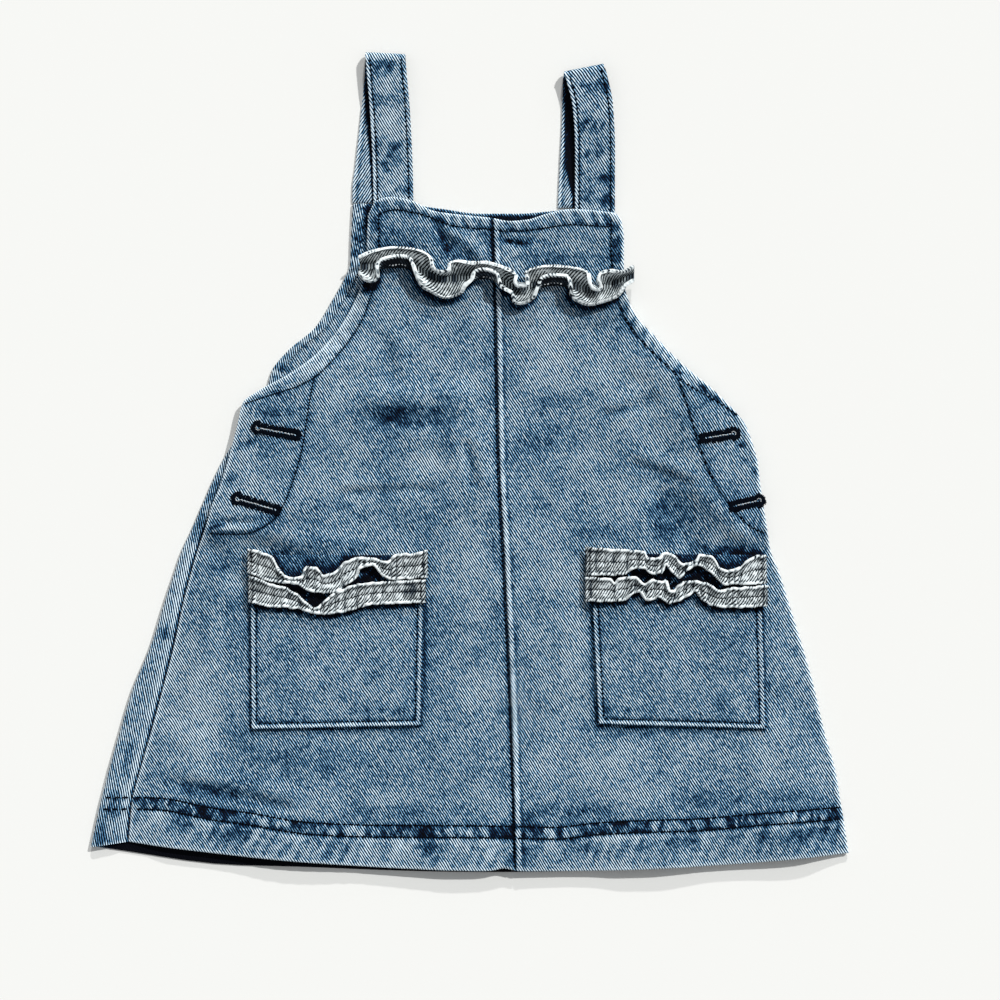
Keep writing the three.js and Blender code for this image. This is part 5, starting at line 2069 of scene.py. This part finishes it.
@dataclass
class Buttonholes:
    """The four empty buttonholes: close stitches round a slit with a round outer end."""

    sewing: Sewing
    reach: float = 3.1
    spacing: float = 0.45

    def ends(self) -> tuple[list, list]:
        """Stitches of the dark edging and of the pale threads in the slit."""
        dark, pale = [], []
        for outer, inner in BUTTONHOLES:
            slit = Slit(np.array(outer, float), np.array(inner, float))
            dark += self.edging(slit)
            pale += self.threads(slit)
        return dark, pale

    def lay(self, a: np.ndarray, b: np.ndarray, lift: float) -> tuple[np.ndarray, np.ndarray]:
        """One stitch between two places in plan, at a height over the cloth."""
        xy = np.stack([a, b])
        z = self.sewing.front.top(xy[:, 0], xy[:, 1]) + lift
        return np.array([*a, z[0]]), np.array([*b, z[1]])

    def edging(self, slit: Slit) -> list:
        """Dark stitches across both sides, round the eye and over the inner end."""
        outer, inner, length = slit.outer, slit.inner, slit.length
        ahead, side, eye = slit.ahead, slit.side, slit.eye
        rng = np.random.default_rng(int(abs(outer[1]) * 10) + 1)
        found = []
        for place in np.arange(3.6, length - 0.2, self.spacing):
            middle = outer + ahead * place
            for sign in (-1, 1):
                reach = self.reach + rng.uniform(-0.45, 0.3) - 0.9 * (place > length - 1.5)
                near, far = middle + side * sign * 0.3, middle + side * sign * reach
                found.append(self.lay(near, far + ahead * rng.uniform(-0.3, 0.3), 0.2))
        for angle in np.arange(80, 281, 8):
            way = slit.way(math.radians(angle))
            found.append(self.lay(eye + way * 0.9, eye + way * rng.uniform(3.3, 4.1), 0.24))
        for place in np.arange(-2.3, 2.4, self.spacing):
            start = inner - ahead * 2.2 + side * place
            found.append(self.lay(start, start + ahead * rng.uniform(2.3, 3.1), 0.3))
        return found

    def threads(self, slit: Slit) -> list:
        """Pale broken threads along the slit and round its eye."""
        outer, length, ahead, side, eye = slit.outer, slit.length, slit.ahead, slit.side, slit.eye
        found = []
        rng = np.random.default_rng(int(abs(outer[0]) * 10))
        for place in np.arange(4.6, length - 4.2, 1.7):
            shift = side * rng.uniform(-0.15, 0.15)
            start = outer + ahead * place + shift
            found.append(self.lay(start, start + ahead * rng.uniform(1.1, 1.7), 0.26))
        for angle in (130, 170, 210, 250, 290):
            turn = math.radians(angle)
            way, next_way = slit.way(turn), slit.way(turn + 0.6)
            found.append(self.lay(eye + way * 1.1, eye + next_way * 1.1, 0.3))
        return found


@dataclass
class Button:
    """A plain four-hole button that lies on the back's stand, under the front."""

    name: str
    x: float
    y: float
    plan: Plan
    finishes: Finishes
    rim: float = 1.3
    dip: float = 0.6
    hole_radius: float = 0.65
    hole_spread: float = 1.45

    def build(self) -> bpy.types.Object:
        """Models the disc, its raised rim and its four holes.

        Returns:
            The finished button.
        """
        base = CLOTH + SEAM_GAP
        centre = self.plan.metres(np.array([self.x, self.y, base + BUTTON_THICKNESS / 2]))[0]
        bpy.ops.object.select_all(action="DESELECT")
        bpy.ops.mesh.primitive_cylinder_add(
            vertices=48,
            radius=BUTTON_RADIUS * MM,
            depth=BUTTON_THICKNESS * MM,
            location=(0, 0, 0),
        )
        made = bpy.context.active_object
        self.sink_middle(made)
        for k in range(4):
            self.drill(made, math.pi / 4 + k * math.pi / 2)
        bevel = made.modifiers.new("rounding", "BEVEL")
        bevel.width, bevel.segments, bevel.limit_method = 0.25 * MM, 2, "ANGLE"
        bpy.context.view_layer.objects.active = made
        bpy.ops.object.modifier_apply(modifier=bevel.name)
        for vertex in made.data.vertices:
            vertex.co.x += centre[0]
            vertex.co.y += centre[1]
            vertex.co.z += centre[2]
        made.data.materials.clear()
        made.data.materials.append(self.finishes.plastic)
        made.name = made.data.name = self.name + "_disc"
        return made

    def sink_middle(self, made: bpy.types.Object) -> None:
        """Insets the upper face and lowers it, so that a rim stands round it."""
        bpy.context.view_layer.objects.active = made
        for polygon in made.data.polygons:
            polygon.select = polygon.normal.z > 0.9
        bpy.ops.object.mode_set(mode="EDIT")
        bpy.context.tool_settings.mesh_select_mode = (False, False, True)
        bpy.ops.mesh.inset(thickness=self.rim * MM, depth=0)
        bpy.ops.mesh.inset(thickness=0.4 * MM, depth=-self.dip * MM)
        bpy.ops.object.mode_set(mode="OBJECT")

    def drill(self, made: bpy.types.Object, angle: float) -> None:
        """Cuts one hole through the button."""
        spread = self.hole_spread * MM
        bpy.ops.object.select_all(action="DESELECT")
        bpy.ops.mesh.primitive_cylinder_add(
            vertices=16,
            radius=self.hole_radius * MM,
            depth=3 * BUTTON_THICKNESS * MM,
            location=(spread * math.cos(angle), spread * math.sin(angle), 0),
        )
        tool = bpy.context.active_object
        cut = made.modifiers.new("hole", "BOOLEAN")
        cut.operation, cut.object, cut.solver = "DIFFERENCE", tool, "EXACT"
        bpy.ops.object.select_all(action="DESELECT")
        bpy.context.view_layer.objects.active = made
        bpy.ops.object.modifier_apply(modifier=cut.name)
        bpy.data.objects.remove(tool)


@dataclass(frozen=True)
class Sun:
    """A distant light: how far it leans over x and y and how wide it is, in degrees."""

    name: str
    energy: float
    lean: tuple[float, float]
    colour: tuple[float, float, float] = (1.0, 1.0, 1.0)
    width: float = 2.0

    def build(self) -> None:
        """Adds the light to the scene."""
        sun = bpy.data.lights.new(self.name, "SUN")
        sun.energy, sun.color, sun.angle = self.energy, self.colour, math.radians(self.width)
        turns = [math.radians(turn) for turn in self.lean]
        placed(self.name, sun).rotation_euler = (*turns, 0)


@dataclass
class Studio:
    """Pale surface, crisp light and the camera straight above."""

    plan: Plan
    floor_size: float = 6.0
    floor_height: float = -0.0001
    fill: tuple[float, float, float, float] = (0.93, 0.96, 1.0, 1.0)
    fill_strength: float = 0.36
    suns: tuple[Sun, ...] = (
        Sun("key", 2.72, (-34, 40), (0.99, 1.0, 1.0)),
        Sun("low", 1.55, (-62, 16)),
    )
    seen: float = 500.0
    middle: tuple[float, float] = (16.0, -20.5)
    lens: float = 85.0
    sensor: float = 36.0
    dress_height: float = 0.003

    def build(self) -> None:
        """Makes the surface, the lights, the world and the camera."""
        bpy.ops.object.select_all(action="DESELECT")
        bpy.ops.mesh.primitive_plane_add(size=self.floor_size, location=(0, 0, self.floor_height))
        floor = bpy.context.active_object
        floor.name = "pale_floor"
        floor.data.materials.append(Paper().material())
        self.light()
        self.camera()

    def light(self) -> None:
        """A key light from the upper right, a low one from beyond the straps, and an even fill."""
        scene = bpy.context.scene
        scene.view_settings.view_transform = "Standard"
        scene.world = bpy.data.worlds.new("studio")
        scene.world.use_nodes = True
        background = scene.world.node_tree.nodes["Background"]
        background.inputs["Color"].default_value = self.fill
        background.inputs["Strength"].default_value = self.fill_strength
        for sun in self.suns:
            sun.build()

    def camera(self) -> None:
        """A long lens straight above the middle of the view."""
        data = bpy.data.cameras.new("camera")
        data.lens, data.sensor_width = self.lens, self.sensor
        height = self.lens / self.sensor * self.seen * MM
        data.clip_start, data.clip_end = 0.05, 20.0
        camera = placed("camera", data)
        camera.location = (
            (self.middle[0] + self.plan.x) * MM,
            (self.middle[1] + self.plan.y) * MM,
            height + self.dress_height,
        )
        bpy.context.scene.camera = camera


class Dress:
    """Puts all the pieces of the dress on the frame."""

    def __init__(self) -> None:
        """Finds the plan and makes the finishes."""
        self.plan = Plan.from_frame()
        self.finishes = Finishes()
        self.front = Front()
        self.sewing = Sewing(self.front)

    def dress(
        self, made: bpy.types.Object, node: str | None, slot: str, material: bpy.types.Material | None
    ) -> bpy.types.Object:
        """Gives a piece its finish and its body, and hides the solid that it replaces.

        Args:
            made: the piece.
            node: the solid that it replaces, if any.
            slot: not used.
            material: its finish, if it has none yet.

        Returns:
            The same piece.
        """
        if material:
            made.data.materials.append(material)
        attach(made, "root")
        if node:
            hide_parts(node)
        area = sum(face.area for face in made.data.polygons) / 2
        LOG.info("%s: %d faces, cloth of %.5f square metres", made.name, len(made.data.polygons), area)
        return made

    def thread(
        self, name: str, ends: list, width: float = SEAM_STITCH.width
    ) -> bpy.types.Object:
        """A piece of dark stitches."""
        made = self.sewing.maker.mesh(name, ends, width, self.finishes.thread, self.plan)
        return self.dress(made, None, "denim", None)

    def pale_thread(self, name: str, ends: list, width: float, slot: str) -> bpy.types.Object:
        """A piece of pale stitches."""
        made = self.sewing.maker.mesh(name, ends, width, self.finishes.pale_thread, self.plan)
        return self.dress(made, None, slot, None)

    def build(self) -> None:
        """Makes every piece in order, from the surface up."""
        back = self.dress(
            Back().wall().build("back_cloth", self.plan), "back_panel", "denim", self.finishes.denim
        )
        for side in ("left", "right"):
            wall = self.front.half(side == "left")
            self.dress(
                wall.build(f"front_{side}_cloth", self.plan),
                f"front_panel_{side}",
                "denim",
                self.finishes.denim,
            )
        self.build_buttons()
        straps = self.build_straps()
        self.build_pockets()
        self.build_frill()
        thread = self.thread("front_stitches", self.sewing.front_ends())
        hem = self.thread("hem_stitches", self.sewing.hem_ends(), HEM_STITCH.width)
        self.build_buttonholes()

    def build_buttons(self) -> None:
        """The four buttons on the back's stands."""
        for name, (x, y) in BUTTONS.items():
            button = Button(name, x, y, self.plan, self.finishes)
            self.dress(button.build(), name, "button", None)

    def build_straps(self) -> list[bpy.types.Object]:
        """Both straps and their stitching."""
        made = []
        for k, (side, route) in enumerate(STRAPS.items()):
            strap = Strap(**route, seed=70 + 5 * k)
            cloth = strap.wall().build(f"strap_{side}_cloth", self.plan)
            made.append(self.dress(cloth, f"strap_{side}", "denim", self.finishes.denim))
            ends = []
            for line in strap.stitch_rows():
                ends += self.sewing.maker.cut(line[4:], SEAM_STITCH)
            self.thread(f"strap_{side}_stitches", ends)
        return made

    def build_pockets(self) -> None:
        """Both pouches with their bands and stitching."""
        for k, (side, corners) in enumerate(POUCHES.items()):
            tiers = (TIERS[f"{side}_upper"], TIERS[f"{side}_lower"])
            pouch = Pouch(self.front, corners, tiers, 80 + 10 * k)
            cloth = pouch.wall().build(f"pouch_{side}_cloth", self.plan)
            self.dress(cloth, f"pocket_pouch_{side}", "denim", self.finishes.denim)
            ends = self.sewing.pouch_ends(pouch)
            thread = self.thread(f"pouch_{side}_stitches", ends)
            for j, row in enumerate(("upper", "lower")):
                head, foot = TIERS[f"{side}_{row}"]
                tier = Tier(foot, head, 100 + 20 * k + 7 * j)
                strip = tier.wall().build(f"band_{side}_{row}_cloth", self.plan)
                rows = [self.sewing.maker.cut(line, BAND_STITCH) for line in tier.stitch_lines()]
                seam = self.thread(f"band_{side}_{row}_stitches", sum(rows, []), BAND_STITCH.width)
                self.dress(
                    strip, f"pocket_tier_{side}_{row}", "denim_wrong_side", self.finishes.wrong_side
                )

    def build_frill(self) -> None:
        """The bib's frill."""
        frill = Frill(self.front)
        cloth = frill.wall().build("frill_cloth", self.plan)
        self.dress(cloth, "bib_frill", "denim_wrong_side", self.finishes.wrong_side)
        ends = sum([self.sewing.maker.cut(line, GATHER_STITCH) for line in frill.gathers()], [])
        self.pale_thread("frill_gathers", ends, GATHER_STITCH.width, "denim_wrong_side")

    def build_buttonholes(self) -> None:
        """The edging and the pale slit threads of the four buttonholes."""
        dark, pale = Buttonholes(self.sewing).ends()
        self.thread("buttonhole_edging", dark, EDGING_WIDTH)
        self.pale_thread("buttonhole_slits", pale, SLIT_WIDTH, "denim")


def main() -> None:
    """Builds the surface, the light, the camera and the dress."""
    logging.basicConfig(level=logging.INFO, format="%(message)s")
    dress = Dress()
    Studio(dress.plan).build()
    dress.build()


if __name__ == "__main__":
    main()
